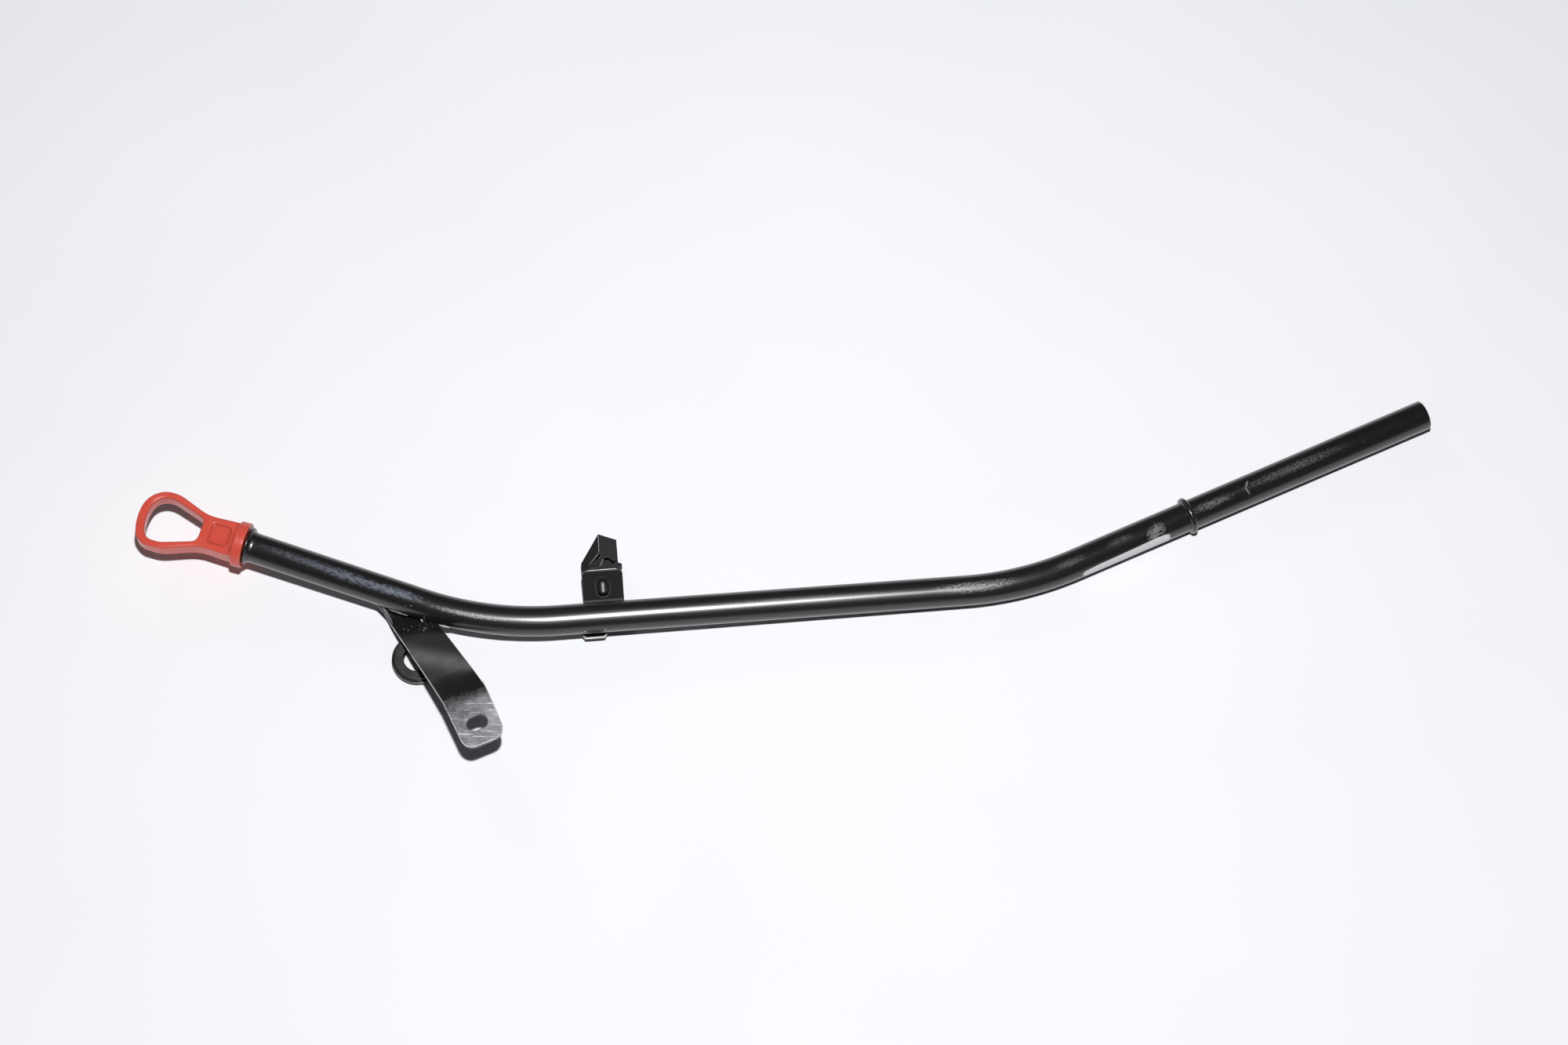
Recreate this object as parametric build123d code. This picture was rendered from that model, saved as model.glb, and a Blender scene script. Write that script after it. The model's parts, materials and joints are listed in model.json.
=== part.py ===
from build123d import *
import os
from math import atan2, cos, degrees, radians, sin, tan

# Engine oil dipstick seated in its bent guide tube, lying on a table. Millimetres, +Z up.
# Built with the middle run along X and the tube's centre line in the XY plane, then laid down.

# Guide tube
TUBE_OD = 13.0
TUBE_WALL = 1.0
BEND_RADIUS = 142.0
FIRST_BEND = 23.94
SECOND_BEND = 19.8
ENTRY_RUN = 78.6
MIDDLE_RUN = 173.3
LOWER_RUN = 169.4
BELL_GROWTH = 1.6
BELL_LENGTH = 3.6
BEAD_HEIGHT = 1.65
BEAD_WIDTH = 2.8
BEAD_TO_END = 115.3
END_CHAMFER = 0.4
WELD_GAP = 0.05

# Handle: grip outline seen from above, measured outward from the tube's lip
HANDLE_YAW = 2.6
SEAT_GAP = 0.1
COLLAR_OD = 19.6
COLLAR_WIDTH = 4.4
COLLAR_EDGE = 0.5
NECK_ROOT_HALF_WIDTH = 7.95
NECK_HALF_WIDTH = 7.25
WAIST_AT = 19.5
SHOULDER_AT = 34.3
LOOP_HALF_WIDTH = 13.0
LOOP_END_AT = 48.7
LOOP_END_RADIUS = 25.0
WAIST_RADIUS = 20.0
SHOULDER_RADIUS = 16.0
LOOP_NEAR_CORNER_RADIUS = 7.5
LOOP_FAR_CORNER_RADIUS = 11.0
LOOP_END_WALL = 3.8
HOLE_START_AT = 20.8
HOLE_START_HALF = 5.3
HOLE_SHOULDER_AT = 35.6
HOLE_HALF_WIDTH = 10.0
HOLE_START_RADIUS = 3.5
HOLE_SHOULDER_RADIUS = 10.0
HOLE_NEAR_CORNER_RADIUS = 5.0
HOLE_FAR_CORNER_RADIUS = 7.0
GRIP_ROOT_THICKNESS = 9.4
GRIP_END_THICKNESS = 6.9
GRIP_EDGE_RADIUS = 0.9
PANEL_START_AT = 7.5
PANEL_LENGTH = 9.5
PANEL_WIDTH = 9.8
PANEL_DEPTH = 0.8
PANEL_WALL_LEAN = 45.0
PANEL_CORNER_RADIUS = 2.0

# Plug behind the collar, its seal and the blade
CONE_RADIUS = 6.4
CONE_LENGTH = 2.6
PLUG_RADIUS = 4.75
PLUG_LENGTH = 16.0
PLUG_TIP_RADIUS = 3.6
PLUG_TIP_LENGTH = 3.0
SEAL_DEPTH = 6.0
SEAL_GROOVE_RADIUS = 3.6
SEAL_SIDE_ROOM = 0.2
SEAL_CLEARANCE = 0.05
BLADE_THICKNESS = 0.9
BLADE_WIDTH = 5.0
BLADE_LET_IN = 6.0
BLADE_CLEARANCE = 0.05
BLADE_SHORT_OF_END = 15.0
BLADE_TIP_RADIUS = 2.2
MARK_HOLE_DIAMETER = 2.0
MARK_HOLE_FROM_TIP = 9.0
MARK_HOLE_SPACING = 22.0

# Mounting bracket: folded strip whose arm leaves the entry run at an angle
BRACKET_SHEET = 2.0
BRACKET_FROM_BEND = 33.0
ARM_TURN = 47.0
ARM_RISE_ANGLE = 25.94
ARM_RISE_START = 2.35
ARM_RISE_RUN = 50.5
ARM_TIP_LENGTH = 23.65
ARM_ROOT_LEFT = -12.75
ARM_ROOT_RIGHT = 3.82
ARM_CREST_LEFT = -7.8
ARM_CREST_RIGHT = 11.05
ARM_TIP_LEFT = -7.3
ARM_TIP_RIGHT = 10.7
ARM_TIP_CORNER = 5.0
ARM_PAST_AXIS = 4.0
ROOT_FOLD_RADIUS = 5.0
CREST_BOW_RADIUS = 59.0
SLOT_LENGTH = 9.2
SLOT_WIDTH = 6.4
SLOT_FROM_TIP = 9.7
DART_LENGTH = 5.4
DART_WIDTH = 2.6
DART_HEIGHT = 1.2
DART_AT = 11.0
DART_SIDE = -0.7

# Eye tab under the bracket's root, with its rubber grommet
EYE_SHEET = 1.2
EYE_RADIUS = 10.95
EYE_HOLE_RADIUS = 8.0
EYE_FORWARD = 21.5
EYE_SIDE = -7.87
EYE_TAIL_WIDTH = 10.0
EYE_TAIL_PAST_AXIS = 1.5
GROMMET_FLANGE_RADIUS = 9.9
GROMMET_BORE_RADIUS = 5.95
GROMMET_TOP_FLANGE = 1.5
GROMMET_LOW_FLANGE = 2.5
GROMMET_CLEARANCE = 0.05
GROMMET_EDGE = 0.35

# Clip bracket under the middle run
CLIP_SHEET = 1.5
CLIP_FROM_BEND = 49.9
CLIP_PLATE_WIDTH = 17.4
CLIP_PLATE_RISE = 38.0
CLIP_PLATE_LENGTH = 13.7
CLIP_FOLD_AT = 10.1
CLIP_FOLD_RADIUS = 1.6
CLIP_PLATE_CORNER = 2.0
CLIP_HOLE_LENGTH = 9.0
CLIP_HOLE_WIDTH = 6.0
CLIP_HOLE_FROM_FOLD = 6.0
TONGUE_NECK_AT = 4.0
TONGUE_END_AT = 6.9
TONGUE_SIDE = -4.85
TONGUE_NECK_WIDTH = 12.0
TONGUE_END_WIDTH = 8.3

# Harness clip, moulded in plastic, its front torn open
MOULD_WALL = 1.4
MOULD_LEFT = -8.5
MOULD_RIGHT = 7.2
MOULD_RIDGE = -0.4
MOULD_TOP = 0.2
MOULD_LEFT_TOP = -7.0
MOULD_BOTTOM = -12.4
MOULD_NEAR = 13.0
MOULD_FAR_LEFT = 27.6
MOULD_FAR_RIDGE = 37.8
MOULD_FAR_RIGHT = 34.6
TEAR_LEFT = 23.0
TEAR_RIDGE = 28.6
TEAR_RIGHT = 24.4
TEAR_BITE = 0.9
TEAR_TEETH = 5
TEAR_FLOOR = -4.2
MOULD_WEB = 1.6
SLIVER_REACH = 1.6
SLIVER_WIDTH = 2.4
SLIVER_TOP = -1.8
STUD_LENGTH = 6.8
STUD_WIDTH = 4.2
STUD_PROUD = 1.5
STUD_EDGE = 1.1
CLIP_CLEARANCE = 0.05

# How the whole part lies
LAY_TILT = 3.5
LAY_YAW = 5.06

# How near its stated place or length a picked corner or edge must be
PICK_ROOM = 0.05

# Worked-out values
tube_radius = TUBE_OD / 2
bore_radius = tube_radius - TUBE_WALL
first_tangent = BEND_RADIUS * tan(radians(FIRST_BEND / 2))
second_tangent = BEND_RADIUS * tan(radians(SECOND_BEND / 2))
half_span = (first_tangent + MIDDLE_RUN + second_tangent) / 2
first_corner = Vector(-half_span, 0, 0)
second_corner = Vector(half_span, 0, 0)
outward = Vector(-cos(radians(FIRST_BEND)), sin(radians(FIRST_BEND)), 0)
downward = Vector(cos(radians(SECOND_BEND)), sin(radians(SECOND_BEND)), 0)
mouth = first_corner + outward * (first_tangent + ENTRY_RUN)
low_end = second_corner + downward * (second_tangent + LOWER_RUN)
lip_radius = tube_radius + BELL_GROWTH
lip_rise = lip_radius * sin(radians(HANDLE_YAW)) + SEAL_DEPTH * (1 - cos(radians(HANDLE_YAW)))
collar_face = SEAT_GAP + lip_rise
seal_radius = (bore_radius - SEAL_GROOVE_RADIUS) / 2 - SEAL_CLEARANCE
seal_centre = (bore_radius + SEAL_GROOVE_RADIUS) / 2
weld_level = -tube_radius - WELD_GAP

# Frames: X runs outward along the entry run, down the lower run, and along the bracket's arm
mouth_frame = Plane(origin=mouth, x_dir=outward, z_dir=(0, 0, 1))
end_frame = Plane(origin=low_end, x_dir=downward, z_dir=(0, 0, 1))
arm_origin = first_corner + outward * BRACKET_FROM_BEND
arm_frame = Plane(origin=arm_origin, x_dir=(-outward).rotate(Axis.Z, -ARM_TURN), z_dir=(0, 0, 1))
clip_frame = Plane(origin=first_corner + Vector(CLIP_FROM_BEND, 0, 0))


def centre_line(start, finish):
    """Straight runs joined by two tangent arcs."""
    return FilletPolyline(start, first_corner, second_corner, finish, radius=BEND_RADIUS)


def pipe(path, radius):
    """Round bar along a path."""
    return sweep(Plane(origin=path @ 0, z_dir=path % 0) * Circle(radius), path=path)


def turned(profile):
    """Solid of revolution about X from a half profile in the XY plane."""
    return revolve(profile, Axis.X)


def flare(inner):
    """Trumpet mouth of a bar whose radius grows by one tangent arc up to the lip."""
    curve = TangentArc((-BELL_LENGTH, inner), (0, inner + BELL_GROWTH), tangent=(1, 0))
    rest = Polyline(curve @ 1, (0, 0), (-BELL_LENGTH, 0), curve @ 0)
    return turned(make_face([curve, rest]))


def bead(radius, width):
    """Rolled ridge with a round back on a bar of the given radius."""
    curve = ThreePointArc((-width / 2, radius), (0, radius + BEAD_HEIGHT), (width / 2, radius))
    rest = Polyline(curve @ 1, (width / 2, 0), (-width / 2, 0), curve @ 0)
    return Pos(-BEAD_TO_END, 0, 0) * turned(make_face([curve, rest]))


def tube_skin(radius, bead_width):
    """The tube's outside or its bore, as one solid."""
    path = centre_line(mouth, low_end)
    return pipe(path, radius) + mouth_frame * flare(radius) + end_frame * bead(radius, bead_width)


def guide_tube():
    """Bent tube with a flared mouth, a rolled bead and a broken edge at the lower end."""
    tube = tube_skin(tube_radius, BEAD_WIDTH) - tube_skin(bore_radius, BEAD_WIDTH - TUBE_WALL)
    rim = tube.edges().filter_by(GeomType.CIRCLE).sort_by_distance(low_end)[0:2]
    return chamfer(rim.sort_by(SortBy.RADIUS)[-1], END_CHAMFER)


def tapered_plan(root, near, far, shoulder_radius, end_wall, corner_radii):
    """Plan of the grip or its finger hole: flanks that spread to a shoulder, closed by a round end.

    near and far are (distance, half width) of the corners of a flank, root those before it.
    """
    arc_radius = LOOP_END_RADIUS - end_wall
    arc_centre = LOOP_END_AT - LOOP_END_RADIUS
    upper = [*root, near, far, (LOOP_END_AT, far[1])]
    lower = [(x, -y) for x, y in reversed(upper)]
    plan = make_face(Polyline(*upper, *lower, close=True)) & Pos(arc_centre, 0) * Circle(arc_radius)
    for side, radius in zip((1, -1), corner_radii):
        corner = plan.vertices().filter_by(lambda v: v.X > far[0] + PICK_ROOM and v.Y * side > far[1] / 2)
        plan = fillet(corner, radius)
    shoulders = plan.vertices().filter_by(lambda v: abs(v.X - far[0]) < PICK_ROOM)
    return fillet(shoulders, shoulder_radius)


def grip_plan():
    """Grip seen from above: straight neck, waist blended into the widening loop."""
    root = (collar_face + COLLAR_WIDTH / 2, NECK_ROOT_HALF_WIDTH)
    waist = (WAIST_AT, NECK_HALF_WIDTH)
    shoulder = (SHOULDER_AT, LOOP_HALF_WIDTH)
    corners = (LOOP_NEAR_CORNER_RADIUS, LOOP_FAR_CORNER_RADIUS)
    plan = tapered_plan([root], waist, shoulder, SHOULDER_RADIUS, 0, corners)
    return fillet(plan.vertices().filter_by(lambda v: abs(v.X - WAIST_AT) < PICK_ROOM), WAIST_RADIUS)


def hole_plan():
    """Finger hole seen from above: blunt neck end, flanks along the grip's, round far end."""
    start = (HOLE_START_AT, HOLE_START_HALF)
    shoulder = (HOLE_SHOULDER_AT, HOLE_HALF_WIDTH)
    corners = (HOLE_NEAR_CORNER_RADIUS, HOLE_FAR_CORNER_RADIUS)
    plan = tapered_plan([], start, shoulder, HOLE_SHOULDER_RADIUS, LOOP_END_WALL, corners)
    return fillet(plan.vertices().group_by(Axis.X)[0], HOLE_START_RADIUS)


def plug_profile():
    """Half section of collar, seat cone, spigot with its seal groove, and tapered tip."""
    half_groove = seal_radius + SEAL_SIDE_ROOM
    collar = COLLAR_OD / 2
    collar_back = collar_face + COLLAR_WIDTH
    outline = Polyline(
        (-PLUG_LENGTH, 0),
        (-PLUG_LENGTH, PLUG_TIP_RADIUS),
        (-PLUG_LENGTH + PLUG_TIP_LENGTH, PLUG_RADIUS),
        (-SEAL_DEPTH - half_groove, PLUG_RADIUS),
        (-SEAL_DEPTH - half_groove, SEAL_GROOVE_RADIUS),
        (-SEAL_DEPTH + half_groove, SEAL_GROOVE_RADIUS),
        (-SEAL_DEPTH + half_groove, PLUG_RADIUS),
        (-CONE_LENGTH, PLUG_RADIUS),
        (collar_face, CONE_RADIUS),
        (collar_face, collar),
        (collar_back, collar),
        (collar_back, 0),
        close=True,
    )
    section = make_face(outline)
    return fillet(section.vertices().filter_by(lambda v: abs(v.Y - collar) < PICK_ROOM), COLLAR_EDGE)


def grip():
    """Wedge-shaped loop with rounded edges and a sunk panel on the neck."""
    start = collar_face + COLLAR_WIDTH
    fall = (GRIP_ROOT_THICKNESS - GRIP_END_THICKNESS) / 2 / (LOOP_END_AT - start)

    def top(at):
        return GRIP_ROOT_THICKNESS / 2 - fall * (at - start)

    corners = [(0, top(0)), (LOOP_END_AT, top(LOOP_END_AT))]
    side = corners + [(x, -z) for x, z in reversed(corners)]
    wedge = extrude(Plane.XZ * make_face(Polyline(*side, close=True)), LOOP_HALF_WIDTH, both=True)
    body = extrude(grip_plan() - hole_plan(), GRIP_ROOT_THICKNESS, both=True) & wedge
    flats = body.faces().sort_by(SortBy.AREA)[-2:]
    body = fillet(flats.edges(), GRIP_EDGE_RADIUS)
    middle = PANEL_START_AT + PANEL_LENGTH / 2
    panel_plane = Plane(origin=(middle, 0, top(middle)), x_dir=(1, 0, -fall), z_dir=(fall, 0, 1))
    panel = RectangleRounded(PANEL_LENGTH, PANEL_WIDTH, PANEL_CORNER_RADIUS)
    return body - extrude(panel_plane * panel, -PANEL_DEPTH, taper=PANEL_WALL_LEAN)


def seat(shape):
    """Set a piece of the dipstick in the mouth, turned a little about the seal."""
    crooked = Pos(-SEAL_DEPTH, 0, 0) * Rot(0, 0, HANDLE_YAW) * Pos(SEAL_DEPTH, 0, 0)
    return mouth_frame * (crooked * shape)


def handle():
    """Moulded grip, collar and plug in one piece, with a slot that holds the blade."""
    slot = Box(
        BLADE_LET_IN * 2,
        BLADE_THICKNESS + 2 * BLADE_CLEARANCE,
        BLADE_WIDTH + 2 * BLADE_CLEARANCE,
    )
    return seat(grip() + turned(plug_profile())) - mouth_frame * (Pos(-PLUG_LENGTH, 0, 0) * slot)


def plug_seal():
    """O-ring that sits in the plug's groove and slides in the bore."""
    ring = Rot(0, 90, 0) * Torus(seal_centre, seal_radius)
    return seat(Pos(-SEAL_DEPTH, 0, 0) * ring)


def blade():
    """Spring strip on edge along the tube's centre line, with level holes near a round tip."""
    start = mouth - outward * (PLUG_LENGTH - BLADE_LET_IN + BLADE_CLEARANCE)
    path = centre_line(start, low_end - downward * BLADE_SHORT_OF_END)
    section = Plane(origin=path @ 0, x_dir=(0, 0, 1), z_dir=path % 0)
    strip = sweep(section * Rectangle(BLADE_WIDTH, BLADE_THICKNESS), path=path)
    tip = end_frame * Pos(-BLADE_SHORT_OF_END, 0, 0)
    corners = strip.edges().sort_by_distance(tip.position)
    corners = corners.filter_by(lambda e: abs(e.length - BLADE_THICKNESS) < PICK_ROOM)[0:2]
    strip = fillet(corners, BLADE_TIP_RADIUS)
    for back in (MARK_HOLE_FROM_TIP, MARK_HOLE_FROM_TIP + MARK_HOLE_SPACING):
        strip -= tip * Pos(-back, 0, 0) * Rot(90, 0, 0) * Cylinder(MARK_HOLE_DIAMETER / 2, BLADE_WIDTH)
    return strip


def folded_strip(path, across, sheet, width):
    """Sheet metal of the given thickness whose middle follows a side profile."""
    section = Plane(origin=path @ 0, x_dir=across, z_dir=path % 0)
    return sweep(section * Rectangle(width, sheet), path=path)


def arm_plan(crest, tip):
    """Outline of the bracket from above: slanted root, leaning arm, round-cornered tip."""
    lean = radians(ARM_TURN)

    def root(side_at_root, side_at_crest):
        """Where an edge of the arm meets the root's end line, parallel to the tube."""
        slope = (side_at_crest - side_at_root) / (crest - ARM_RISE_START)
        offset = side_at_root - slope * ARM_RISE_START
        along = (offset * cos(lean) - ARM_PAST_AXIS) / (sin(lean) - slope * cos(lean))
        return along, offset + slope * along

    outline = Polyline(
        root(ARM_ROOT_LEFT, ARM_CREST_LEFT),
        (crest, ARM_CREST_LEFT),
        (tip, ARM_TIP_LEFT),
        (tip, ARM_TIP_RIGHT),
        (crest, ARM_CREST_RIGHT),
        root(ARM_ROOT_RIGHT, ARM_CREST_RIGHT),
        close=True,
    )
    plan = make_face(outline)
    return fillet(plan.vertices().group_by(Axis.X)[-1], ARM_TIP_CORNER)


def dart():
    """Pressed stiffening rib, a long half-round pip with ball ends."""
    pip = DART_WIDTH / 2
    bar = Rot(0, 90, 0) * Cylinder(pip, DART_LENGTH - DART_WIDTH)
    for end in (-1, 1):
        bar += Pos(end * (DART_LENGTH - DART_WIDTH) / 2, 0, 0) * Sphere(pip)
    return Pos(0, 0, DART_HEIGHT - pip) * bar


def mounting_bracket():
    """Arm folded twice from one strip, welded under the tube and trimmed to its side."""
    crest = ARM_RISE_START + ARM_RISE_RUN
    tip = crest + ARM_TIP_LENGTH
    level = weld_level - BRACKET_SHEET / 2
    rise = ARM_RISE_RUN * tan(radians(ARM_RISE_ANGLE))
    profile = FilletPolyline(
        (-ARM_RISE_RUN, 0, level),
        (ARM_RISE_START, 0, level),
        (crest, 0, level + rise),
        (tip + SLOT_LENGTH, 0, level + rise),
        radius=[ROOT_FOLD_RADIUS, CREST_BOW_RADIUS],
    )
    strip = folded_strip(profile, (0, 1, 0), BRACKET_SHEET, ARM_RISE_RUN * 2)
    strip &= extrude(arm_plan(crest, tip), rise * 2, both=True)
    middle = (ARM_TIP_LEFT + ARM_TIP_RIGHT) / 2
    slot = SlotOverall(SLOT_LENGTH, SLOT_WIDTH, rotation=90)
    strip -= extrude(Pos(tip - SLOT_FROM_TIP, middle) * slot, rise * 2, both=True)
    slope = Rot(0, -ARM_RISE_ANGLE, 0)
    dart_height = weld_level + (DART_AT - ARM_RISE_START) * tan(radians(ARM_RISE_ANGLE))
    strip += Pos(DART_AT, DART_SIDE, dart_height) * slope * dart()
    path = centre_line(mouth, low_end)
    bracket = arm_frame * strip - pipe(path, tube_radius + WELD_GAP)
    return bracket.solids().sort_by(SortBy.VOLUME)[-1]


def eye_level():
    """Top of the eye tab, just under the bracket's root."""
    return weld_level - BRACKET_SHEET - WELD_GAP


def eye_tab():
    """Flat eye with a tail that runs back under the bracket's root."""
    back = Vector(EYE_FORWARD, EYE_SIDE).length + EYE_TAIL_PAST_AXIS
    heading = degrees(atan2(-EYE_SIDE, -EYE_FORWARD))
    tail = Rot(0, 0, heading) * Rectangle(back, EYE_TAIL_WIDTH, align=(Align.MIN, Align.CENTER))
    plan = Circle(EYE_RADIUS) + tail - Circle(EYE_HOLE_RADIUS)
    return arm_frame * Pos(EYE_FORWARD, EYE_SIDE, eye_level()) * extrude(plan, -EYE_SHEET)


def eye_grommet():
    """Rubber ring with a flange on each face of the eye and a round bore."""
    top = GROMMET_CLEARANCE + GROMMET_TOP_FLANGE
    low = -EYE_SHEET - GROMMET_CLEARANCE - GROMMET_LOW_FLANGE
    waist = EYE_HOLE_RADIUS - GROMMET_CLEARANCE
    outline = Polyline(
        (GROMMET_BORE_RADIUS, low),
        (GROMMET_FLANGE_RADIUS, low),
        (GROMMET_FLANGE_RADIUS, -EYE_SHEET - GROMMET_CLEARANCE),
        (waist, -EYE_SHEET - GROMMET_CLEARANCE),
        (waist, GROMMET_CLEARANCE),
        (GROMMET_FLANGE_RADIUS, GROMMET_CLEARANCE),
        (GROMMET_FLANGE_RADIUS, top),
        (GROMMET_BORE_RADIUS, top),
        close=True,
    )
    section = make_face(outline)
    ends = section.vertices().group_by(Axis.Y)
    section = fillet(ends[0] + ends[-1], GROMMET_EDGE)
    ring = revolve(Plane.XZ * section, Axis.Z)
    return arm_frame * Pos(EYE_FORWARD, EYE_SIDE, eye_level()) * ring


def clip_slope():
    """Plane of the clip bracket's raised plate: X across, Y up the slope, Z out of its front."""
    rise = radians(CLIP_PLATE_RISE)
    return Plane(
        origin=(0, CLIP_FOLD_AT, weld_level),
        x_dir=(1, 0, 0),
        z_dir=(0, -sin(rise), cos(rise)),
    )


def clip_bracket():
    """Strip with a narrow tongue on the near side and a raised plate with an oblong hole."""
    rise = radians(CLIP_PLATE_RISE)
    level = weld_level - CLIP_SHEET / 2
    fold = CLIP_FOLD_AT + CLIP_SHEET / 2 * tan(rise / 2)
    reach = CLIP_PLATE_LENGTH - CLIP_SHEET / 2 * tan(rise / 2)
    profile = FilletPolyline(
        (0, -TONGUE_END_AT, level),
        (0, fold, level),
        (0, fold + reach * cos(rise), level + reach * sin(rise)),
        radius=CLIP_FOLD_RADIUS + CLIP_SHEET / 2,
    )
    strip = folded_strip(profile, (1, 0, 0), CLIP_SHEET, CLIP_PLATE_WIDTH * 2)
    neck = TONGUE_NECK_WIDTH / 2
    end = TONGUE_END_WIDTH / 2
    plate = CLIP_PLATE_WIDTH / 2
    far = CLIP_FOLD_AT + CLIP_PLATE_LENGTH
    outline = Polyline(
        (TONGUE_SIDE - end, -TONGUE_END_AT),
        (TONGUE_SIDE + end, -TONGUE_END_AT),
        (TONGUE_SIDE + neck, -TONGUE_NECK_AT),
        (plate, 0),
        (plate, far),
        (-plate, far),
        (-plate, 0),
        (TONGUE_SIDE - neck, -TONGUE_NECK_AT),
        close=True,
    )
    strip &= extrude(make_face(outline), far, both=True)
    corners = [e for e in strip.edges().filter_by(GeomType.LINE)
               if abs(e.length - CLIP_SHEET) < PICK_ROOM and e.center().Z > level + CLIP_SHEET]
    strip = fillet(corners, CLIP_PLATE_CORNER)
    hole = Pos(0, CLIP_HOLE_FROM_FOLD) * SlotOverall(CLIP_HOLE_LENGTH, CLIP_HOLE_WIDTH, rotation=90)
    strip -= extrude(clip_slope() * hole, CLIP_PLATE_LENGTH / 2, both=True)
    return clip_frame * strip


def mould_block(wall, floor):
    """Outside of the harness clip (wall 0) or its hollow: a ridged section with a slanted far end."""
    section = make_face(Polyline(
        (MOULD_LEFT, floor),
        (MOULD_LEFT, MOULD_LEFT_TOP),
        (MOULD_RIDGE, MOULD_TOP),
        (MOULD_RIGHT, MOULD_TOP),
        (MOULD_RIGHT, floor),
        close=True,
    ))
    plan = make_face(Polyline(
        (MOULD_LEFT, MOULD_NEAR),
        (MOULD_RIGHT, MOULD_NEAR),
        (MOULD_RIGHT, MOULD_FAR_RIGHT),
        (MOULD_RIDGE, MOULD_FAR_RIDGE),
        (MOULD_LEFT, MOULD_FAR_LEFT),
        close=True,
    ))
    if wall:
        section = offset(section, -wall)
        plan = offset(plan, -wall)
    bar = extrude(Plane.XZ * section, -MOULD_FAR_RIDGE * 2, both=True)
    return bar & extrude(plan, MOULD_FAR_RIDGE, both=True)


def behind_plate(depth):
    """Half space under the raised plate, the given distance behind its back face."""
    reach = MOULD_FAR_RIDGE * 2
    block = Pos(0, 0, -CLIP_SHEET - CLIP_CLEARANCE - depth) * Box(
        reach, reach, reach, align=(Align.CENTER, Align.CENTER, Align.MAX))
    return clip_slope() * block


def tear():
    """What the break took away: all that stood nearer than a jagged line, above a floor."""
    teeth = []
    stretches = [((MOULD_LEFT - MOULD_WALL, TEAR_LEFT), (MOULD_RIDGE, TEAR_RIDGE)),
                 ((MOULD_RIDGE, TEAR_RIDGE), (MOULD_RIGHT + MOULD_WALL, TEAR_RIGHT))]
    for start, finish in stretches:
        for step in range(TEAR_TEETH):
            share = step / TEAR_TEETH
            bite = TEAR_BITE * (step % 2)
            teeth.append((start[0] + share * (finish[0] - start[0]),
                          start[1] + share * (finish[1] - start[1]) - bite))
    teeth.append(stretches[1][1])
    near = [(MOULD_RIGHT + MOULD_WALL, 0), (MOULD_LEFT - MOULD_WALL, 0)]
    plan = make_face(Polyline(*teeth, *near, close=True))
    return Pos(0, 0, TEAR_FLOOR) * extrude(plan, MOULD_TOP - TEAR_FLOOR + MOULD_WALL)


def harness_clip():
    """Hollow plastic cap on the back of the plate, webbed inside, with a stud and a torn front."""
    shell = mould_block(0, MOULD_BOTTOM) & behind_plate(0)
    hollow = mould_block(MOULD_WALL, MOULD_BOTTOM * 2) & behind_plate(MOULD_WALL)
    reach = MOULD_FAR_RIDGE * 2
    web = Box(reach, reach, MOULD_WEB, align=(Align.CENTER, Align.CENTER, Align.MAX))
    shell -= hollow - Pos(0, 0, TEAR_FLOOR) * web
    shell -= tear() & behind_plate(MOULD_WALL)
    sliver = make_face(Polyline(
        (MOULD_RIGHT - MOULD_WALL, TEAR_RIGHT + SLIVER_WIDTH / 2),
        (MOULD_RIGHT + SLIVER_REACH, TEAR_RIGHT),
        (MOULD_RIGHT + SLIVER_REACH, TEAR_RIGHT - SLIVER_WIDTH / 2),
        (MOULD_RIGHT - MOULD_WALL, TEAR_RIGHT - SLIVER_WIDTH),
        close=True,
    ))
    shell += Pos(0, 0, TEAR_FLOOR - MOULD_WALL) * extrude(sliver, SLIVER_TOP - TEAR_FLOOR + MOULD_WALL)
    stud_length = CLIP_SHEET + CLIP_CLEARANCE + MOULD_WALL / 2 + STUD_PROUD
    stud = extrude(SlotOverall(STUD_LENGTH, STUD_WIDTH, rotation=90), -stud_length)
    stud = fillet(stud.faces().sort_by(Axis.Z)[-1].edges(), STUD_EDGE)
    shell += clip_slope() * Pos(0, CLIP_HOLE_FROM_FOLD, STUD_PROUD) * stud
    return clip_frame * shell.solids().sort_by(SortBy.VOLUME)[-1]


def laid_down(pieces):
    """Tilt the part about its lower run, turn it, set it on the ground and centre it there."""
    lower_run = Axis(second_corner, downward)
    lying = {}
    for name, piece in pieces.items():
        lying[name] = piece.rotate(lower_run, LAY_TILT).rotate(Axis.Z, LAY_YAW)
    box = Compound(list(lying.values())).bounding_box()
    drop = Pos(-box.center().X, -box.center().Y, -box.min.Z)
    return {name: drop * piece for name, piece in lying.items()}


pieces = {
    "guide_tube": guide_tube(),
    "mounting_bracket": mounting_bracket(),
    "eye_tab": eye_tab(),
    "eye_grommet": eye_grommet(),
    "clip_bracket": clip_bracket(),
    "harness_clip": harness_clip(),
    "handle": handle(),
    "plug_seal": plug_seal(),
    "blade": blade(),
}

os.makedirs("parts", exist_ok=True)
for name, piece in laid_down(pieces).items():
    export_step(piece, f"parts/{name}.step")
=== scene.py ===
import json

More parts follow.
